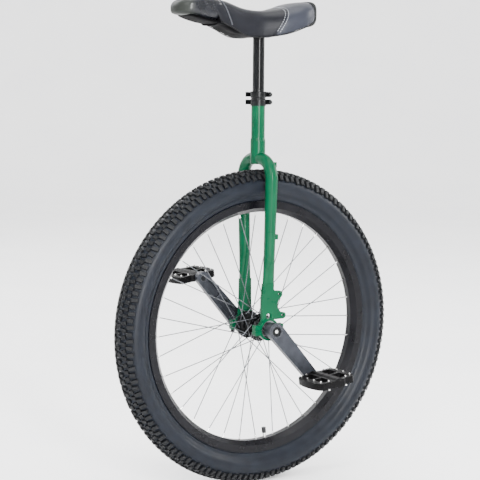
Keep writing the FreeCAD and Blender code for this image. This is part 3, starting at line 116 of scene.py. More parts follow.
@dataclass(frozen=True)
class Finish:
    """A real material with its surface treatment."""

    name: str
    colour: str
    shade: str
    metallic: float
    roughness: float
    swing: float
    mottle_mm: float
    grain_mm: float
    grain_depth_mm: float
    coat: float = 0.0
    coat_roughness: float = 0.06
    sheen: float = 0.0
    specular: float = 0.3
    edge_mm: float = 0.5
    # Colour painted along every edge: partly rubbed wear, partly a painted highlight.
    edge_wear_and_highlight: str = ""
    surface: Surface = Surface.EVEN
    panel: str = ""
    panel_roughness: float = 0.0

    def build(self) -> bpy.types.Material:
        """Make the procedural material.

        Returns:
            The material, ready to put on a mesh.
        """
        material = bpy.data.materials.new(self.name)
        material.use_nodes = True
        tree = material.node_tree
        shader = tree.nodes["Principled BSDF"]
        shader.inputs["Metallic"].default_value = self.metallic
        shader.inputs["Specular IOR Level"].default_value = self.specular
        shader.inputs["Coat Weight"].default_value = self.coat
        shader.inputs["Coat Roughness"].default_value = self.coat_roughness
        shader.inputs["Sheen Weight"].default_value = self.sheen
        place = self._place(tree)
        colour, rough = self._mottle(tree, place)
        if self.panel:
            colour, rough = self._panels(tree, colour, rough)
        # Edges painted paler: partly rubbed wear, partly a painted highlight.
        if self.edge_wear_and_highlight:
            colour = self._paint_edge_wear_and_highlight(tree, colour, place)
        tree.links.new(colour, shader.inputs["Base Color"])
        tree.links.new(rough, shader.inputs["Roughness"])
        tree.links.new(self._relief(tree, place), shader.inputs["Normal"])
        return material

    def _place(self, tree: bpy.types.NodeTree) -> bpy.types.NodeSocket:
        """Pattern position on the piece, drawn out for a lengthways grain."""
        where = add_node(tree, "ShaderNodeTexCoord")
        squeeze = (1.0, 1.0, 0.06) if self.surface is Surface.LENGTHWAYS else (1.0, 1.0, 1.0)
        centre = add_node(tree, "ShaderNodeVectorMath", {"operation": "SUBTRACT"},
                          {0: where.outputs["Object"]})
        centre.inputs[1].default_value = AXLE
        scaled = add_node(tree, "ShaderNodeVectorMath", {"operation": "MULTIPLY"},
                          {0: centre.outputs[0]})
        scaled.inputs[1].default_value = squeeze
        return scaled.outputs[0]

    def _mottle(self, tree: bpy.types.NodeTree,
                place: bpy.types.NodeSocket) -> tuple[bpy.types.NodeSocket, bpy.types.NodeSocket]:
        """Slow drift of colour and roughness over the surface."""
        cloud = add_node(tree, "ShaderNodeTexNoise", {"Scale": 1 / (self.mottle_mm * MM), "Detail": 4.0},
                         {"Vector": place})
        tint = add_node(tree, "ShaderNodeValToRGB", links={0: cloud.outputs["Fac"]})
        low, high = tint.color_ramp.elements
        low.position, high.position = 0.35, 0.65
        low.color, high.color = linear(self.shade), linear(self.colour)
        rough = add_node(tree, "ShaderNodeMapRange",
                         {"From Min": 0.3, "From Max": 0.7, "To Min": self.roughness - self.swing,
                          "To Max": self.roughness + self.swing}, {"Value": cloud.outputs["Fac"]})
        return tint.outputs["Color"], rough.outputs["Result"]

    def _panels(self, tree: bpy.types.NodeTree, colour: bpy.types.NodeSocket,
                rough: bpy.types.NodeSocket) -> tuple[bpy.types.NodeSocket, bpy.types.NodeSocket]:
        """Second colour and gloss behind the mesh's "panel" attribute."""
        mask = add_node(tree, "ShaderNodeAttribute", {"attribute_name": "panel"})
        mixed = add_node(tree, "ShaderNodeMix", {"data_type": "RGBA"})
        tree.links.new(mask.outputs["Fac"], mixed.inputs[0])
        tree.links.new(colour, mixed.inputs[6])
        mixed.inputs[7].default_value = linear(self.panel)
        eased = add_node(tree, "ShaderNodeMath", {"operation": "MULTIPLY_ADD"},
                         {0: mask.outputs["Fac"], 2: rough})
        eased.inputs[1].default_value = self.panel_roughness - self.roughness
        return mixed.outputs[2], eased.outputs[0]

    def _paint_edge_wear_and_highlight(self, tree: bpy.types.NodeTree, colour: bpy.types.NodeSocket,
              place: bpy.types.NodeSocket) -> bpy.types.NodeSocket:
        """Paler colour painted along every edge: partly rubbed wear, partly a painted highlight where an edge
        would catch light.
        """
        rounded = add_node(tree, "ShaderNodeBevel", {"samples": 4, "Radius": 1.2 * MM})
        flat = add_node(tree, "ShaderNodeNewGeometry")
        match = add_node(tree, "ShaderNodeVectorMath", {"operation": "DOT_PRODUCT"},
                         {0: rounded.outputs[0], 1: flat.outputs["Normal"]})
        edge = add_node(tree, "ShaderNodeMapRange",
                        {"From Min": 0.985, "From Max": 0.86, "To Min": 0.0, "To Max": 0.9},
                        {"Value": match.outputs["Value"]})
        broken = add_node(tree, "ShaderNodeTexNoise", {"Scale": 1 / (3 * MM), "Detail": 3.0},
                          {"Vector": place})
        amount = add_node(tree, "ShaderNodeMath", {"operation": "MULTIPLY"},
                          {0: edge.outputs["Result"], 1: broken.outputs["Fac"]})
        mixed = add_node(tree, "ShaderNodeMix", {"data_type": "RGBA"})
        tree.links.new(amount.outputs[0], mixed.inputs[0])
        tree.links.new(colour, mixed.inputs[6])
        mixed.inputs[7].default_value = linear(self.edge_wear_and_highlight)
        return mixed.outputs[2]

    def _relief(self, tree: bpy.types.NodeTree, place: bpy.types.NodeSocket) -> bpy.types.NodeSocket:
        """Fine grain standing on edges that are slightly rounded."""
        grain = add_node(tree, "ShaderNodeTexNoise",
                         {"Scale": 1 / (self.grain_mm * MM), "Detail": 2.0}, {"Vector": place})
        height = grain.outputs["Fac"]
        if self.surface is Surface.RINGS:
            rings = add_node(tree, "ShaderNodeTexWave",
                             {"wave_type": "RINGS", "rings_direction": "Y", "wave_profile": "SIN",
                              "Scale": 1 / (2 * self.grain_mm * MM) / 10, "Distortion": 0.0},
                             {"Vector": place})
            height = rings.outputs["Fac"]
        bump = add_node(tree, "ShaderNodeBump",
                        {"Strength": 1.0, "Distance": self.grain_depth_mm * MM}, {"Height": height})
        if self.edge_mm:
            rounded = add_node(tree, "ShaderNodeBevel", {"samples": 4, "Radius": self.edge_mm * MM})
            tree.links.new(rounded.outputs[0], bump.inputs["Normal"])
        return bump.outputs[0]


# Polyester powder coat on aluminium: a deep even green under a glossy, slightly orange-peeled skin.
GREEN = Finish("green_powder_coat", "013f27", "013722", 0.0, 0.3, 0.05, 60, 1.6, 0.012, coat=0.07,
               coat_roughness=0.08, specular=0.06, edge_mm=0.8)
# Vulcanised rubber fresh from its mould: near black with a cool cast, dull, faintly blotched.
SIDEWALL = Finish("moulded_rubber_sidewall", "0e1219", "0a0d13", 0.0, 0.44, 0.07, 22, 1.3, 0.05,
                  specular=0.13, edge_mm=0, surface=Surface.RINGS)
# The same rubber on the blocks: duller, with a closer grain.
TREAD = Finish("moulded_rubber_tread", "0e0f11", "090a0c", 0.0, 0.58, 0.08, 9, 0.8, 0.06, specular=0.16,
               edge_mm=0)
# Anodised rim extrusion: satin black that catches a thin line of light at its lip.
RIM = Finish("anodised_black_rim", "09090d", "060609", 0.1, 0.3, 0.05, 30, 0.6, 0.006,
             specular=0.14)
# Machined aluminium, anodised black: satin, with every edge painted greyer, partly rubbed wear and partly a
# painted highlight.
BLACK_ANODISED = Finish("anodised_black", "08090a", "050607", 0.3, 0.34, 0.06, 12, 0.5, 0.008,
                        edge_wear_and_highlight="303235", specular=0.2)
# Forged aluminium, blasted and anodised graphite: soft sparkle, with every edge painted paler, partly rubbed
# wear and partly a painted highlight.
CRANK = Finish("anodised_graphite", "303238", "282a2f", 0.6, 0.4, 0.05, 14, 0.35, 0.012,
               edge_wear_and_highlight="6f7276")
# Drawn stainless wire: bright, with long draw lines.
SPOKE = Finish("drawn_stainless", "55575b", "444649", 0.9, 0.32, 0.06, 8, 0.4, 0.004, edge_mm=0)
# Nickel plate: mirror-like with a warm grey cast.
NICKEL = Finish("nickel_plate", "ececea", "d8d8d6", 1.0, 0.2, 0.05, 6, 0.5, 0.003)
# Turned and plated steel: fine lathe marks.
STEEL = Finish("zinc_plated_steel", "86888b", "6a6c6f", 0.95, 0.3, 0.08, 7, 0.5, 0.008)
# Hardened steel with a black oxide skin, with every edge painted paler, partly bare rubbed metal and partly a
# painted highlight.
BLACK_STEEL = Finish("black_oxide_steel", "141517", "0e0f10", 0.7, 0.4, 0.06, 7, 0.5, 0.008,
                     edge_wear_and_highlight="5b5d60")
# Dark anodised aluminium ring, satin and free of wear.
CRANK_RING = Finish("satin_grey_ring", "3a3c40", "303236", 0.8, 0.28, 0.05, 6, 0.4, 0.003)
# Gloss black stoved enamel on the seat post: deep reflections, faint draw lines below.
POST = Finish("gloss_black_enamel", "090a0c", "060708", 0.0, 0.2, 0.03, 25, 1.2, 0.004, coat=0.15,
              coat_roughness=0.16, specular=0.06, surface=Surface.LENGTHWAYS)
# Cast pedal body, painted black: fine orange peel, with every edge painted brighter, partly rubbed wear and
# partly a painted highlight.
PEDAL = Finish("painted_casting", "040405", "030303", 0.0, 0.5, 0.07, 10, 0.7, 0.025, specular=0.07,
               edge_wear_and_highlight="0e0f10")
# Calendered vinyl: charcoal, slightly blue, with a close leather-like grain.
VINYL = Finish("embossed_vinyl", "0f1015", "0c0d11", 0.0, 0.42, 0.05, 18, 0.9, 0.05, coat=0.03,
               coat_roughness=0.3, specular=0.1, edge_mm=0, panel="24262d", panel_roughness=0.36)
# Injection-moulded nylon, spark-eroded texture.
MOULDED = Finish("moulded_nylon", "030304", "020203", 0.0, 0.7, 0.06, 14, 0.5, 0.03, specular=0.03)
# Glossy nylon grab handle; its panel is the duller rubbery grip at the nose.
HANDLE = Finish("moulded_handle", "131418", "101114", 0.0, 0.28, 0.05, 16, 0.8, 0.015, coat=0.15,
                coat_roughness=0.14, specular=0.15, panel="171a17", panel_roughness=0.66)
# Duller nylon of the rear bumper.
BUMPER = Finish("moulded_bumper", "131515", "0f1111", 0.0, 0.6, 0.06, 9, 0.6, 0.05, specular=0.15)
# Bonded nylon thread: off-white twist.
THREAD = Finish("white_nylon_thread", "8f9297", "787b80", 0.0, 0.6, 0.05, 2, 0.5, 0.05, edge_mm=0)
# Vinyl piping, paler than the cover that it is sewn into.
WELT = Finish("piping_vinyl", "35373d", "2c2e33", 0.0, 0.42, 0.05, 5, 0.8, 0.03, edge_mm=0)
# The cover's own vinyl where its edge is folded under.
HEM = Finish("folded_vinyl_edge", "0d0e10", "0a0b0c", 0.0, 0.5, 0.05, 5, 0.8, 0.03, specular=0.12,
             edge_mm=0)
# Moulded nylon valve cap.
CAP = Finish("moulded_valve_cap", "0c0d0f", "08090a", 0.0, 0.45, 0.05, 6, 0.6, 0.02)
# Open-cell polyurethane foam, dark grey.
FOAM = Finish("open_cell_foam", "303032", "262628", 0.0, 0.9, 0.03, 4, 1.0, 0.2)
# Matt white paint on the studio's bowl.
FLOOR_PAINT = Finish("studio_floor_paint", "fbfbfb", "f8f8f9", 0.0, 0.85, 0.03, 400, 3.0, 0.02,
                     specular=0.1, edge_mm=0)

NODE_FINISHES: dict[Finish, tuple[str, ...]] = {
    GREEN: ("frame_neck", "frame_leg_left", "frame_leg_right", "brake_mount", "dropout_right",
            "bearing_housing_left", "bearing_housing_right", "bearing_caps", "hose_guides"),
    RIM: ("rim",),
    BLACK_ANODISED: ("clamp_collar", "clamp_nuts", "qr_lever_upper", "qr_lever_lower", "hub_shell",
                     "disc_carrier"),
    CRANK: ("crank_left", "crank_right"),
    SPOKE: ("spokes_left", "spokes_right"),
    NICKEL: ("spoke_nipples", "valve_stem", "pedal_pins_left", "pedal_pins_right"),
    STEEL: ("axle", "bearing_inner_races", "bearing_outer_races", "bearing_balls", "bearing_spacers",
            "clamp_skewers", "cam_pins", "saddle_bolts"),
    BLACK_STEEL: ("bearing_cap_bolts", "crank_bolts", "pedal_spindle_left", "pedal_spindle_right",
                  "pedal_lock_nuts"),
    CRANK_RING: ("crank_rings",),
    POST: ("seat_post", "seat_post_plate"),
    PEDAL: ("pedal_body_left", "pedal_body_right"),
    MOULDED: ("saddle_base", "cam_washers", "pedal_bushes_left", "pedal_bushes_right", "rim_tape",
              "inner_tube"),
    CAP: ("valve_cap",),
    FOAM: ("saddle_foam",),
    VINYL: ("saddle_cover",),
    HANDLE: ("front_handle",),
    BUMPER: ("rear_bumper",),
    SIDEWALL: ("tyre",),
}

_materials: dict[str, bpy.types.Material] = {}


def material_of(finish: Finish) -> bpy.types.Material:
    """The material of a finish, made once."""
    if finish.name not in _materials:
        _materials[finish.name] = finish.build()
    return _materials[finish.name]


def dress_frame() -> None:
    """Give every CAD node its finish."""
    for finish, names in NODE_FINISHES.items():
        for name in names:
            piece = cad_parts[name]
            piece.data.materials.clear()
            piece.data.materials.append(material_of(finish))
    LOG.info("dressed %d CAD nodes", sum(len(names) for names in NODE_FINISHES.values()))


def finished(bm: bmesh.types.BMesh, name: str, finish: Finish, body: Body,
             smooth: bool = True) -> bpy.types.Object:
    """Turn a bmesh into a piece of the unicycle.

    Args:
        bm: The mesh, placed in the frame; it is freed.
        name: Name of the piece.
        finish: Its finish.
        body: The body it rides on.
        smooth: Shade its faces smooth.

    Returns:
        The new object.
    """
    bmesh.ops.recalc_face_normals(bm, faces=bm.faces)
    for face in bm.faces:
        face.smooth = smooth
    mesh = bpy.data.meshes.new(name)
    bm.to_mesh(mesh)
    bm.free()
    piece = bpy.data.objects.new(name, mesh)
    bpy.context.scene.collection.objects.link(piece)
    mesh.materials.append(material_of(finish))
    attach(piece, body.value)
    LOG.info("%s: %d faces", name, len(mesh.polygons))
    return piece


def smooth_curve(knots: Sequence[tuple[float, float]], at: float) -> float:
    """Read a smooth curve through a table of values.

    Args:
        knots: Pairs of place and value, in rising order of place.
        at: The place to read.

    Returns:
        The value there, by a Catmull-Rom cubic.
    """
    last = len(knots) - 2
    index = max(0, min(last, sum(1 for place, _ in knots[1:-1] if at >= place)))
    (x1, y1), (x2, y2) = knots[index], knots[index + 1]
    x0, y0 = knots[index - 1] if index > 0 else (x1, y1)
    x3, y3 = knots[index + 2] if index < last else (x2, y2)
    step = x2 - x1
    slope1 = (y2 - y0) / (x2 - x0) * step
    slope2 = (y3 - y1) / (x3 - x1) * step
    t = max(0.0, min(1.0, (at - x1) / step))
    return (y1 * (2 * t ** 3 - 3 * t ** 2 + 1) + slope1 * (t ** 3 - 2 * t ** 2 + t)
            + y2 * (3 * t ** 2 - 2 * t ** 3) + slope2 * (t ** 3 - t ** 2))


def cord_mesh(bm: bmesh.types.BMesh, path: Sequence[Vector], radius: float, sides: int = 8,
              closed: bool = False) -> None:
    """Add a round cord along a path to a bmesh.

    Args:
        bm: The mesh to add to.
        path: Points along the cord's middle.
        radius: The cord's radius.
        sides: Sides of its section.
        closed: Join the last point to the first.
    """
    rings = []
    count = len(path)
    for index, point in enumerate(path):
        before = path[index - 1] if index or closed else point
        after = path[(index + 1) % count] if index < count - 1 or closed else point
        turn = (after - before).normalized().to_track_quat("Z", "Y").to_matrix().to_4x4()
        made = bmesh.ops.create_circle(bm, segments=sides, radius=radius, cap_ends=False,
                                       matrix=Matrix.Translation(point) @ turn)
        rings.append(_ring_edges(made["verts"]))
    pairs = list(zip(rings, rings[1:])) + ([(rings[-1], rings[0])] if closed else [])
    for first, second in pairs:
        bmesh.ops.bridge_loops(bm, edges=first + second)
    if not closed:
        for ring in (rings[0], rings[-1]):
            bmesh.ops.contextual_create(bm, geom=ring)


def _ring_edges(verts: Iterable[bmesh.types.BMVert]) -> list[bmesh.types.BMEdge]:
    """Edges of a new circle, from its vertices."""
    return list({edge for vert in verts for edge in vert.link_edges})


@dataclass
class Tyre:
    """Knobbly tyre: a casing with smooth sidewalls and rows of moulded blocks."""

    section: float = (TYRE_HIGH.y - TYRE_LOW.y) / 2
    block_height: float = 5 * MM
    lip_radius: float = RIM_HIGH.x + 1.02 * MM
    lip_half: float = RIM_HIGH.y - 2 * MM
    repeats: int = 72
    block_root: float = 0.7 * MM
    block_taper: float = 0.86
    block_round: float = 0.7 * MM

    @property
    def middle(self) -> float:
        """Radius of the circle of section centres."""
        return TREAD_RADIUS - self.section

    def build(self) -> list[bpy.types.Object]:
        """Build the casing and the tread.

        Returns:
            The two pieces.
        """
        casing, tread = self.build_casing(), self.build_tread()
        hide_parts("tyre")
        return [casing, tread]

    def build_casing(self) -> bpy.types.Object:
        """Spin the casing's section round the axle.

        Returns:
            The casing.
        """
        base = self.section - self.block_height
        # Degrees from the crown and the reach there from the section's centre.
        flank = [(0, base), (20, base), (40, base), (56, base), (63, base + 0.5 * MM),
                 (68, base + 1.9 * MM), (74, base + 2.6 * MM), (84, base + 3.2 * MM),
                 (95, base + 3.4 * MM), (107, base + 2.9 * MM), (119, base + 1.4 * MM),
                 (130, base - 1.4 * MM)]
        side = [(self.middle + reach * math.cos(math.radians(turn)), reach * math.sin(math.radians(turn)))
                for turn, reach in flank]
        side += [(self.lip_radius + 4.2 * MM, self.lip_half + 3.2 * MM),
                 (self.lip_radius + 3.2 * MM, self.lip_half + 3.3 * MM),
                 (self.lip_radius + 2.2 * MM, self.lip_half + 2.4 * MM),
                 (self.lip_radius + 1.0 * MM, self.lip_half + 0.6 * MM),
                 (self.lip_radius - 5 * MM, self.lip_half - 1.2 * MM)]
        loop = [(radius, -along) for radius, along in reversed(side)] + side[1:]
        bm = bmesh.new()
        verts = [bm.verts.new(AXLE + Vector((radius, along, 0))) for radius, along in loop]
        edges = [bm.edges.new(pair) for pair in zip(verts, verts[1:])]
        edges.append(bm.edges.new((verts[-1], verts[0])))
        bmesh.ops.spin(bm, geom=verts + edges, cent=AXLE, axis=(0, 1, 0), angle=2 * math.pi,
                       steps=216, use_merge=True)
        bmesh.ops.remove_doubles(bm, verts=bm.verts, dist=0.01 * MM)
        return finished(bm, "tyre_casing", SIDEWALL, Body.WHEEL)

    def build_tread(self) -> bpy.types.Object:
        """Lay out one repeat of the blocks, bend it over the casing and turn it round the wheel.

        Returns:
            The tread.
        """
        half = math.pi * TREAD_RADIUS / self.repeats
        bm = bmesh.new()
        # Two centre blocks, then the middle rows, then the shoulder rows, on each side.
        for side in (1, -1):
            lag = 0 if side > 0 else 1.5 * MM
            self._block(bm, side * 7.4 * MM, lag, 12 * MM, 10 * MM, side * 8)
            self._block(bm, side * 6.6 * MM, half + lag, 9.5 * MM, 8.6 * MM, -side * 14)
            for row, skew, reach in ((0.5, 12, 0), (1.5, -6, 1.2)):
                self._block(bm, side * (21.5 * MM + reach * MM), row * half + lag, 12.5 * MM, 9.6 * MM,
                            side * skew)
            for row, skew, width in ((0, 7, 18), (1, -5, 15)):
                self._block(bm, side * (28.8 + width / 2) * MM, row * half + lag, width * MM, 10.4 * MM,
                            side * skew, 1.6 * MM)
        self._bend(bm)
        bmesh.ops.spin(bm, geom=bm.verts[:] + bm.edges[:] + bm.faces[:], cent=AXLE, axis=(0, 1, 0),
                       angle=2 * math.pi * (self.repeats - 1) / self.repeats, steps=self.repeats - 1,
                       use_duplicate=True)
        return finished(bm, "tyre_tread", TREAD, Body.WHEEL, smooth=False)

    def _block(self, bm: bmesh.types.BMesh, across: float, along: float, width: float, length: float,
               skew: float, rise: float = 0.0) -> None:
        """Add one tapered block with a softened top, on the flat tread."""
        height = self.block_height + self.block_root + rise
        spot = Matrix.Translation((across, along, height / 2 - self.block_root))
        turn = Matrix.Rotation(math.radians(skew), 4, "Z")
        size = Matrix.Diagonal((width, length, height, 1))
        made = bmesh.ops.create_cube(bm, size=1, matrix=spot @ turn @ size)
        top = [vert for vert in made["verts"] if vert.co.z > height / 2]
        middle = Vector((across, along, 0))
        for vert in top:
            vert.co.xy = (middle + (vert.co - middle) * self.block_taper).xy
        rim = [edge for edge in bm.edges if edge.verts[0] in top and edge.verts[1] in top]
        bmesh.ops.bevel(bm, geom=rim, offset=self.block_round, segments=1, profile=0.5, affect="EDGES",
                        material=-1)

    def _bend(self, bm: bmesh.types.BMesh) -> None:
        """Wrap the flat blocks over the crown."""
        for vert in bm.verts:
            lean = vert.co.x / self.section
            reach = self.section - self.block_height + vert.co.z
            turn = vert.co.y / TREAD_RADIUS
            radius = self.middle + reach * math.cos(lean)
            vert.co = AXLE + Vector((radius * math.cos(turn), reach * math.sin(lean),
                                     radius * math.sin(turn)))


@dataclass
class CrankTrim:
    """Bright centres of the two crank bolts."""

    radius: float = 4.0 * MM
    thickness: float = 1.2 * MM
    bevel: float = 0.25 * MM

    def build(self) -> list[bpy.types.Object]:
        """Set a bevelled disc in the middle of each bolt's head.

        Returns:
            One piece with both discs.
        """
        low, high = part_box("crank_bolts")
        bm = bmesh.new()
        for face, way in ((high.y, 1), (low.y, -1)):
            spot = Matrix.Translation((AXLE.x, face + way * self.thickness * 0.3, AXLE.z))
            turn = Matrix.Rotation(math.pi / 2, 4, "X")
            made = bmesh.ops.create_cone(bm, cap_ends=True, segments=32, radius1=self.radius,
                                         radius2=self.radius, depth=self.thickness, matrix=spot @ turn)
            rims = [edge for edge in _ring_edges(made["verts"])
                    if abs(edge.verts[0].co.y - edge.verts[1].co.y) < 0.01 * MM]
            bmesh.ops.bevel(bm, geom=rims, offset=self.bevel, segments=2, profile=0.5, affect="EDGES",
                            material=-1)
        return [finished(bm, "crank_bolt_centres", NICKEL, Body.WHEEL, smooth=False)]


@dataclass
class Saddle:
    """Padded saddle: one sewn vinyl cover with its seams, thread, hem, front handle and bumper.

    The outline's three tables pair a share of the CAD cover's length, 0 at its rear, with metres:
    the half width, the hem's height over the floor, and the crown's height over the floor and depth.
    """

    rear: float = COVER_LOW.x
    nose: float = COVER_HIGH.x
    floor: float = COVER_LOW.z
    plate: float = PLATE_HIGH.z
    span: float = COVER_HIGH.x - COVER_LOW.x
    depth: float = 63.5 * MM
    halves: tuple[tuple[float, float], ...] = (
        (0, 0.0500), (0.06, 0.0648), (0.17, 0.075), (0.32, 0.0686), (0.45, 0.0564), (0.56, 0.0468),
        (0.70, 0.043), (0.86, 0.043), (1.0, 0.044), (1.12, 0.043))
    hems: tuple[tuple[float, float], ...] = (
        (0, 0.042), (0.06, 0.035), (0.17, 0.024), (0.32, 0.010), (0.45, 0.0030), (0.56, 0.0),
        (0.70, 0.003), (0.86, 0.021), (1.0, 0.035), (1.12, 0.043))
    crowns: tuple[tuple[float, float], ...] = (
        (0, 0.022), (0.06, 0.023), (0.17, 0.0185), (0.32, 0.0065), (0.45, 0.0005), (0.56, 0.0),
        (0.70, 0.005), (0.86, 0.0175), (1.0, 0.024), (1.12, 0.0255))
    front_low: float = COVER_HIGH.x - 11 * MM
    front_high: float = COVER_HIGH.x + 30 * MM
    inset: float = 1.6 * MM
    waist_share: float = 0.3
    tuck_turn: float = 0.8
    bulge: float = 1.03
    squareness: float = 2.75
    rear_seam: float = AXLE.x - 10 * MM
    front_seam: float = AXLE.x + 90 * MM
    seam_pinch: float = 4 * MM
    pressure: float = 4.0
    swell_steps: int = 20
    swell_cap: float = 3.2 * MM
    thread_gap: float = 3.4 * MM
    stitch: float = 3.6 * MM
    thread_lift: float = 0.35 * MM
    grip_start: float = 57.5 * MM

    def outline_at(self, share: float) -> tuple[float, float, float]:
        """Half width, hem height and crown height at a share of the CAD cover's length."""
        half = smooth_curve(self.halves, share)
        hem = self.floor + smooth_curve(self.hems, share)
        crown = self.floor + self.depth + smooth_curve(self.crowns, share)
        return half, hem, crown

    def section_point(self, share: float, turn: float, inset: float = 0.0) -> Vector:
        """Point on the pad's surface.

        Args:
            share: Place along the CAD cover, 0 at the rear and 1 at the front.
            turn: From -1 at the right hem over the crown to 1 at the left hem.
            inset: How far inside the surface.

        Returns:
            The point, in the frame.
        """
        half, hem, crown = self.outline_at(share)
        waist = hem + self.waist_share * (crown - hem)
        side = math.copysign(1, turn)
        lean = abs(turn)
        if lean > self.tuck_turn:
            part = (lean - self.tuck_turn) / (1 - self.tuck_turn)
            along = (half * self.bulge * (1 - part) + half * part) - inset
            up = waist + (hem - waist) * part
        else:
            angle = lean / self.tuck_turn * math.pi / 2
            power = 2 / self.squareness
            along = (half * self.bulge - inset) * abs(math.sin(angle)) ** power
            up = waist + (crown - inset - waist) * abs(math.cos(angle)) ** power
        return Vector((self.rear + share * self.span, side * along, up))

    def slanted(self, share: float, turn: float, inset: float = 0.0) -> Vector:
        """Section point with the cover's front edge leaning forwards over the handle."""
        half, hem, crown = self.outline_at(share)
        point = self.section_point(share, turn, inset)
        height = max(0.0, (point.z - hem) / (crown - hem))
        front = self.front_low + (self.front_high - self.front_low) * height ** 0.8
        reach = self.rear + self.span
        blend = max(0.0, (share - 0.55) / 0.45)
        target = point.x + (front - reach) * blend
        share_there = (target - self.rear) / self.span
        moved = self.section_point(share_there, turn, inset)
        return Vector((target, moved.y, moved.z))

    def build(self) -> list[bpy.types.Object]:
        """Build the cover, its sewing and the mouldings at its ends.

        Returns:
            The new pieces.
        """
        cover = self.build_cover()
        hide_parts("saddle_cover", "saddle_foam")
        tree = BVHTree.FromObject(cover, bpy.context.evaluated_depsgraph_get())
        pieces = [cover, self.build_thread(tree), self.build_welt(tree), self.build_hem()]
        handle = self.build_handle()
        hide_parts("front_handle")
        bumper = self.build_bumper()
        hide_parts("rear_bumper")
        return pieces + [handle, bumper, self.build_tray()]

    def build_cover(self) -> bpy.types.Object:
        """Loft the pad, swell it as cloth under pressure between its seams, and mark its panels.

        Returns:
            The cover, a closed padded piece.
        """
        bm = bmesh.new()
        long, around = 56, 48
        bmesh.ops.create_grid(bm, x_segments=long, y_segments=around, size=0.5)
        for vert in bm.verts:
            share, turn = vert.co.x + 0.5, vert.co.y * 2
            vert.co = self.slanted(share, turn, self.inset)
        self._close(bm)
        piece = finished(bm, "saddle_vinyl", VINYL, Body.SADDLE)
        self._remesh(piece)
        self._swell(piece)
        self._mark_panels(piece)
        rounder = piece.modifiers.new("rounder", "SUBSURF")
        rounder.levels = rounder.render_levels = 1
        return piece

    def _close(self, bm: bmesh.types.BMesh) -> None:
        """Close the open underside and both ends of the loft."""
        low = [edge for edge in bm.edges if edge.is_boundary]
        hems = [edge for edge in low if abs(edge.verts[0].co.x - edge.verts[1].co.x) > 0.5 * MM]
        bmesh.ops.bridge_loops(bm, edges=hems)
        bmesh.ops.holes_fill(bm, edges=[edge for edge in bm.edges if edge.is_boundary], sides=0)

    def _remesh(self, piece: bpy.types.Object) -> None:
        """Even out the mesh so that the cloth stretches alike all over."""
        modifier = piece.modifiers.new("even", "REMESH")
        modifier.mode, modifier.voxel_size, modifier.use_smooth_shade = "VOXEL", 4 * MM, True
        self._apply(piece)

    def _apply(self, piece: bpy.types.Object) -> None:
        """Put a piece's modifiers into its mesh."""
        graph = bpy.context.evaluated_depsgraph_get()
        graph.update()
        mesh = bpy.data.meshes.new_from_object(piece.evaluated_get(graph))
        piece.modifiers.clear()
        old = piece.data
        piece.data = mesh
        if not mesh.materials:
            mesh.materials.append(old.materials[0])

    def seam_gap(self, point: Vector) -> float:
        """Distance from the nearer seam, measured along the saddle."""
        height = point.z - self.floor
        rear = point.x - self.seam_x(height, True)
        front = point.x - self.seam_x(height, False)
        return min(abs(rear), abs(front))

    def seam_x(self, height: float, rear: bool) -> float:
        """Where a seam is along the saddle, by its height over the cover's lowest point."""
        if rear:
            return self.rear_seam - 0.62 * max(0.0, height - 6 * MM)
        return self.front_seam + 0.50 * max(0.0, height - 10 * MM)

    def _swell(self, piece: bpy.types.Object) -> None:
        """Blow the cover up between its seams, and cap how far each point moves."""
        rest = [vert.co.copy() for vert in piece.data.vertices]
        held = piece.vertex_groups.new(name="sewn")
        for vert in piece.data.vertices:
            share = max(0.0, min(1.1, (vert.co.x - self.rear) / self.span))
            hem = self.outline_at(share)[1]
            sewn = 1.0 if vert.co.z < hem + 5 * MM or self.seam_gap(vert.co) < 2.6 * MM else 0.0
            if sewn:
                held.add([vert.index], 1.0, "REPLACE")
        cloth = piece.modifiers.new("cloth", "CLOTH")
        setting = cloth.settings
        setting.quality = 4
        setting.use_pressure, setting.uniform_pressure_force = True, self.pressure
        setting.vertex_group_mass = "sewn"
        setting.effector_weights.gravity = 0
        cloth.collision_settings.use_collision = False
        cloth.point_cache.frame_start, cloth.point_cache.frame_end = 1, self.swell_steps
        scene = bpy.context.scene
        for number in range(1, self.swell_steps + 1):
            scene.frame_set(number)
        self._apply(piece)
        scene.frame_set(1)
        for vert, home in zip(piece.data.vertices, rest):
            move = vert.co - home
            if move.length > self.swell_cap:
                vert.co = home + move.normalized() * self.swell_cap
        LOG.info("swelled the cover: %d points", len(rest))

    def _mark_panels(self, piece: bpy.types.Object) -> None:
        """Sink the seams, mark the rear panel for its paler vinyl and face the underside in nylon."""
        mesh = piece.data
        normals = [vert.normal.copy() for vert in mesh.vertices]
        panel = mesh.attributes.new("panel", "FLOAT", "POINT")
        for vert, normal in zip(mesh.vertices, normals):
            gap = self.seam_gap(vert.co)
            if gap < self.seam_pinch and normal.z > -0.5:
                vert.co -= normal * (1.0 * MM * (1 - gap / self.seam_pinch))
            behind = self.seam_x(vert.co.z - self.floor, True) - vert.co.x
            panel.data[vert.index].value = max(0.0, min(1.0, behind / (3 * MM) + 0.5))
        mesh.materials.append(material_of(MOULDED))
        for face in mesh.polygons:
            if face.normal.z < -0.6:
                face.material_index = 1

    def seam_path(self, tree: BVHTree, rear: bool, shift: float, points: int) -> list[tuple[Vector, Vector]]:
        """Follow a seam over the cover.

        Args:
            tree: The cover's surface.
            rear: The rear seam, or else the front one.
            shift: Distance in front of the seam.
            points: Number of points.

        Returns:
            Points on the surface with their outward directions.
        """
        found = []
        sweep = 112
        for index in range(points):
            turn = math.radians(sweep * (2 * index / (points - 1) - 1))
            height = 30 * MM
            for _ in range(4):
                middle = Vector((self.seam_x(height, rear) + shift, 0, self.floor + 35 * MM))
                ray = Vector((0, math.sin(turn), math.cos(turn)))
                spot, normal, _, _ = tree.ray_cast(middle + ray * 160 * MM, -ray)
                if spot is None:
                    break
                height = 0.5 * height + 0.5 * (spot.z - self.floor)
            if spot is not None:
                share = (spot.x - self.rear) / self.span
                if spot.z > self.outline_at(share)[1] + 5 * MM:
                    found.append((spot, normal))
        return found

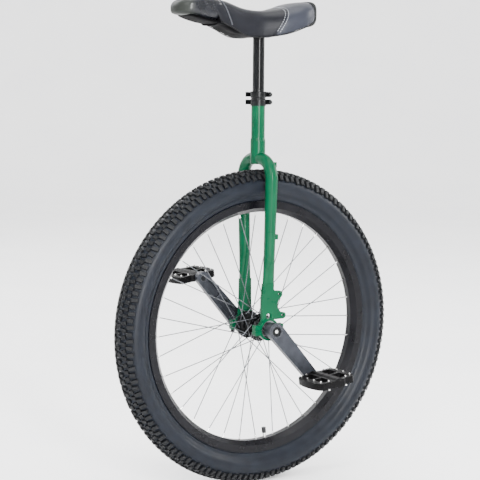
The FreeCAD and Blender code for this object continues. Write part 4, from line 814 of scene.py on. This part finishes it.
    def build_thread(self, tree: BVHTree) -> bpy.types.Object:
        """Sew two rows of thread along the rear seam.

        Args:
            tree: The cover's surface.

        Returns:
            The stitches.
        """
        bm = bmesh.new()
        for shift in (-self.thread_gap, self.thread_gap):
            path = self.seam_path(tree, True, shift, 240)
            travelled, last = 0.0, path[0][0]
            start = None
            for spot, normal in path:
                stride = (spot - last).length
                travelled += stride
                last = spot
                if stride > 4 * MM:
                    start = None
                elif start is None:
                    start = spot + normal * self.thread_lift
                    travelled = 0.0
                elif travelled >= self.stitch:
                    self._stitch(bm, start, spot + normal * self.thread_lift)
                    start = None
        return finished(bm, "saddle_thread", THREAD, Body.SADDLE)

    @staticmethod
    def _stitch(bm: bmesh.types.BMesh, start: Vector, end: Vector) -> None:
        """Add one stitch: a short rounded strand."""
        run = end - start
        turn = run.normalized().to_track_quat("Z", "Y").to_matrix().to_4x4()
        spot = Matrix.Translation((start + end) / 2) @ turn
        size = Matrix.Diagonal((0.75 * MM, 0.75 * MM, run.length * 0.46, 1))
        bmesh.ops.create_uvsphere(bm, u_segments=6, v_segments=4, radius=1, matrix=spot @ size)

    def build_welt(self, tree: BVHTree) -> bpy.types.Object:
        """Lay the piping of the front seam.

        Args:
            tree: The cover's surface.

        Returns:
            The piping.
        """
        bm = bmesh.new()
        path = [spot + normal * 0.3 * MM for spot, normal in self.seam_path(tree, False, 0.0, 72)]
        cord_mesh(bm, path, 1.4 * MM)
        return finished(bm, "saddle_welt", WELT, Body.SADDLE)

    def build_hem(self) -> bpy.types.Object:
        """Run the rolled hem round the cover's lower edge.

        Returns:
            The hem.
        """
        steps = 90
        left = [self.slanted(index / steps, 1.0, 0.3 * MM) for index in range(steps + 1)]
        right = [Vector((point.x, -point.y, point.z)) for point in reversed(left)]
        bm = bmesh.new()
        cord_mesh(bm, left + right, 1.1 * MM, closed=True)
        return finished(bm, "saddle_hem", HEM, Body.SADDLE)

    def build_handle(self) -> bpy.types.Object:
        """Form the grab handle in front of the cover, with its softer grip at the nose.

        Returns:
            The handle.
        """
        _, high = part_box("front_handle")
        tip = (high.x - self.nose) / MM - 0.5
        rows = ((-23, 40.5, 32, 75.5), (-1, 41.5, 27, 79), (19, 42, 28.5, 81), (39, 42, 34, 81.5),
                (56, 40.5, 38, 79), (70, 36, 39, 75.5), (82, 28, 40.5, 70), (88.5, 18, 43, 63),
                (tip, 6, 48, 56))
        piece = self._moulding(self._from_plate(rows), "grab_handle", HANDLE, "handle_plastic")
        panel = piece.data.attributes.new("panel", "FLOAT", "POINT")
        for vert in piece.data.vertices:
            edge = self.nose + self.grip_start + 0.16 * (vert.co.z - self.plate - 52 * MM)
            panel.data[vert.index].value = max(0.0, min(1.0, (vert.co.x - edge) / (2 * MM) + 0.5))
        return piece

    def build_bumper(self) -> bpy.types.Object:
        """Form the bumper behind the cover.

        Returns:
            The bumper.
        """
        low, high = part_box("rear_bumper")
        rows = ((high.x + 9 * MM, 0.0560, low.z - 4 * MM, high.z + 2 * MM),
                (high.x, 0.0540, low.z - 6 * MM, high.z + 3 * MM),
                (low.x + 3 * MM, 0.0500, low.z - 6 * MM, high.z + 3 * MM),
                (low.x, 0.0430, low.z - 2 * MM, high.z),
                (low.x - 2 * MM, 0.0300, low.z + 6 * MM, high.z - 5 * MM))
        return self._moulding(rows[::-1], "bumper", BUMPER, "bumper_plastic")

    def build_tray(self) -> bpy.types.Object:
        """Form the dark tray that carries the cover's nose and the handle.

        Returns:
            The tray.
        """
        rows = ((-88, 37, -5.5, 2.5), (-66, 37.5, 2, 11), (-36, 37.5, 13, 24), (-11, 37.5, 21, 30.5),
                (14, 37.5, 23.5, 32), (39, 36.5, 29, 38), (59, 33, 35.5, 42), (68, 25, 38, 42))
        return self._moulding(self._from_plate(rows), "saddle_tray", MOULDED, "base_plastic")

    def _from_plate(self, rows: Sequence[tuple[float, float, float, float]]
                    ) -> list[tuple[float, float, float, float]]:
        """Place sections given in millimetres ahead of the CAD cover and above the post's plate.

        Args:
            rows: Distance ahead, half width, and heights of the underside and the top.

        Returns:
            The same rows in the frame.
        """
        return [(self.nose + ahead * MM, half * MM, self.plate + low * MM, self.plate + high * MM)
                for ahead, half, low, high in rows]

    @staticmethod
    def _moulding(rows: Sequence[tuple[float, float, float, float]], name: str, finish: Finish,
                  slot: str) -> bpy.types.Object:
        """Bridge a row of rounded sections into one closed moulding."""
        bm = bmesh.new()
        rings = []
        for across, half, low, high in rows:
            spot = Matrix.Translation((across, 0, (low + high) / 2)) @ Matrix.Rotation(math.pi / 2, 4, "Y")
            made = bmesh.ops.create_circle(bm, segments=40, radius=1, cap_ends=False, matrix=spot)
            rise = (high - low) / 2
            for vert in made["verts"]:
                along, up = vert.co.y, vert.co.z - (low + high) / 2
                squash = (abs(along) ** 3.4 + abs(up) ** 3.4) ** (-1 / 3.4)
                vert.co.y = along * squash * half
                vert.co.z = (low + high) / 2 + up * squash * rise
            rings.append(_ring_edges(made["verts"]))
        for first, second in zip(rings, rings[1:]):
            bmesh.ops.bridge_loops(bm, edges=first + second)
        for ring in (rings[0], rings[-1]):
            bmesh.ops.contextual_create(bm, geom=ring)
        piece = finished(bm, name, finish, Body.SADDLE)
        rounder = piece.modifiers.new("rounder", "SUBSURF")
        rounder.levels = rounder.render_levels = 1
        return piece


@dataclass
class Studio:
    """Plain pale bowl, soft lights and the camera."""

    bowl_radius: float = 11.0
    bowl_height: float = 9.0
    bowl_curve: float = 4.0
    sky_strength: float = 2.3
    light_aim: float = 0.55
    sensor: float = 36.0
    azimuth: float = 146.78
    elevation: float = 9.81
    distance: float = 3.313
    lens: float = 105.36
    aim_side: float = -0.0398
    aim_up: float = 0.2028
    roll: float = 0.49

    def build(self) -> None:
        """Build the stage."""
        self.build_bowl()
        self.build_lights()
        self.build_camera()

    def build_bowl(self) -> None:
        """Spin a floor that curves up into walls."""
        curve, steps = self.bowl_curve, 12
        path = [Vector((0, 0, 0)), Vector((self.bowl_radius - curve, 0, 0))]
        for step in range(1, steps + 1):
            turn = math.pi / 2 * step / steps
            path.append(Vector((self.bowl_radius - curve + curve * math.sin(turn), 0,
                                curve - curve * math.cos(turn))))
        path.append(Vector((self.bowl_radius, 0, self.bowl_height)))
        bm = bmesh.new()
        verts = [bm.verts.new(point) for point in path]
        edges = [bm.edges.new(pair) for pair in zip(verts, verts[1:])]
        bmesh.ops.spin(bm, geom=verts + edges, cent=(0, 0, 0), axis=(0, 0, 1), angle=2 * math.pi,
                       steps=96, use_merge=True)
        bmesh.ops.remove_doubles(bm, verts=bm.verts, dist=0.1 * MM)
        bmesh.ops.recalc_face_normals(bm, faces=bm.faces)
        bmesh.ops.reverse_faces(bm, faces=bm.faces)
        for face in bm.faces:
            face.smooth = True
        mesh = bpy.data.meshes.new("floor")
        bm.to_mesh(mesh)
        bm.free()
        floor = bpy.data.objects.new("floor", mesh)
        bpy.context.scene.collection.objects.link(floor)
        mesh.materials.append(material_of(FLOOR_PAINT))

    def build_lights(self) -> None:
        """Hang soft boxes round the object under a pale sky."""
        world = bpy.data.worlds.new("studio_sky")
        world.use_nodes = True
        sky = world.node_tree.nodes["Background"]
        sky.inputs["Color"].default_value = (1, 1, 1, 1)
        sky.inputs["Strength"].default_value = self.sky_strength
        bpy.context.scene.world = world
        # Name, place, width and height in metres, and power in watts.
        boxes = (("key", (3.4, 3.6, 3.6), (2.4, 2.4), 260.0), ("side", (-4.2, 1.2, 2.2), (2.0, 2.0), 170.0),
                 ("back", (0.5, -4.4, 3.2), (2.4, 2.4), 110.0), ("over", (0, 0, 5.2), (3.2, 3.2), 240.0),
                 ("strip", (0.9, 3.3, 1.3), (0.34, 1.9), 240.0))
        for name, spot, (wide, tall), power in boxes:
            light = bpy.data.lights.new(name, "AREA")
            light.shape, light.energy = "RECTANGLE", power
            light.size, light.size_y = wide, tall
            lamp = bpy.data.objects.new(name, light)
            lamp.location = spot
            aim = Vector((0, 0, self.light_aim)) - Vector(spot)
            lamp.rotation_euler = aim.to_track_quat("-Z", "Y").to_euler()
            bpy.context.scene.collection.objects.link(lamp)

    def build_camera(self) -> None:
        """Stand the camera off the rider's left and a little above the axle."""
        turn, rise = math.radians(self.azimuth), math.radians(self.elevation)
        back = Vector((math.sin(turn) * math.cos(rise), -math.cos(turn) * math.cos(rise), math.sin(rise)))
        spot = AXLE + back * self.distance
        right = (-back).cross(Vector((0, 0, 1))).normalized()
        up = right.cross(-back)
        aim = AXLE + right * self.aim_side + up * self.aim_up
        look = (aim - spot).normalized()
        right = look.cross(Vector((0, 0, 1))).normalized()
        up = right.cross(look)
        lean = math.radians(self.roll)
        right, up = right * math.cos(lean) + up * math.sin(lean), up * math.cos(lean) - right * math.sin(lean)
        camera = bpy.data.objects.new("camera", bpy.data.cameras.new("camera"))
        camera.data.sensor_width, camera.data.lens = self.sensor, self.lens
        camera.data.clip_end = 100.0
        turned = Matrix((right, up, -look)).transposed().to_4x4()
        camera.matrix_world = Matrix.Translation(spot) @ turned
        bpy.context.scene.collection.objects.link(camera)
        bpy.context.scene.camera = camera


def main() -> None:
    """Build every sub-assembly's looks and note the sizes."""
    logging.basicConfig(level=logging.INFO, format="%(name)s: %(message)s")
    dress_frame()
    for assembly in (Tyre(), CrankTrim(), Saddle()):
        for piece in assembly.build():
            LOG.info("%s made", piece.name)
    Studio().build()


if __name__ == "__main__":
    main()
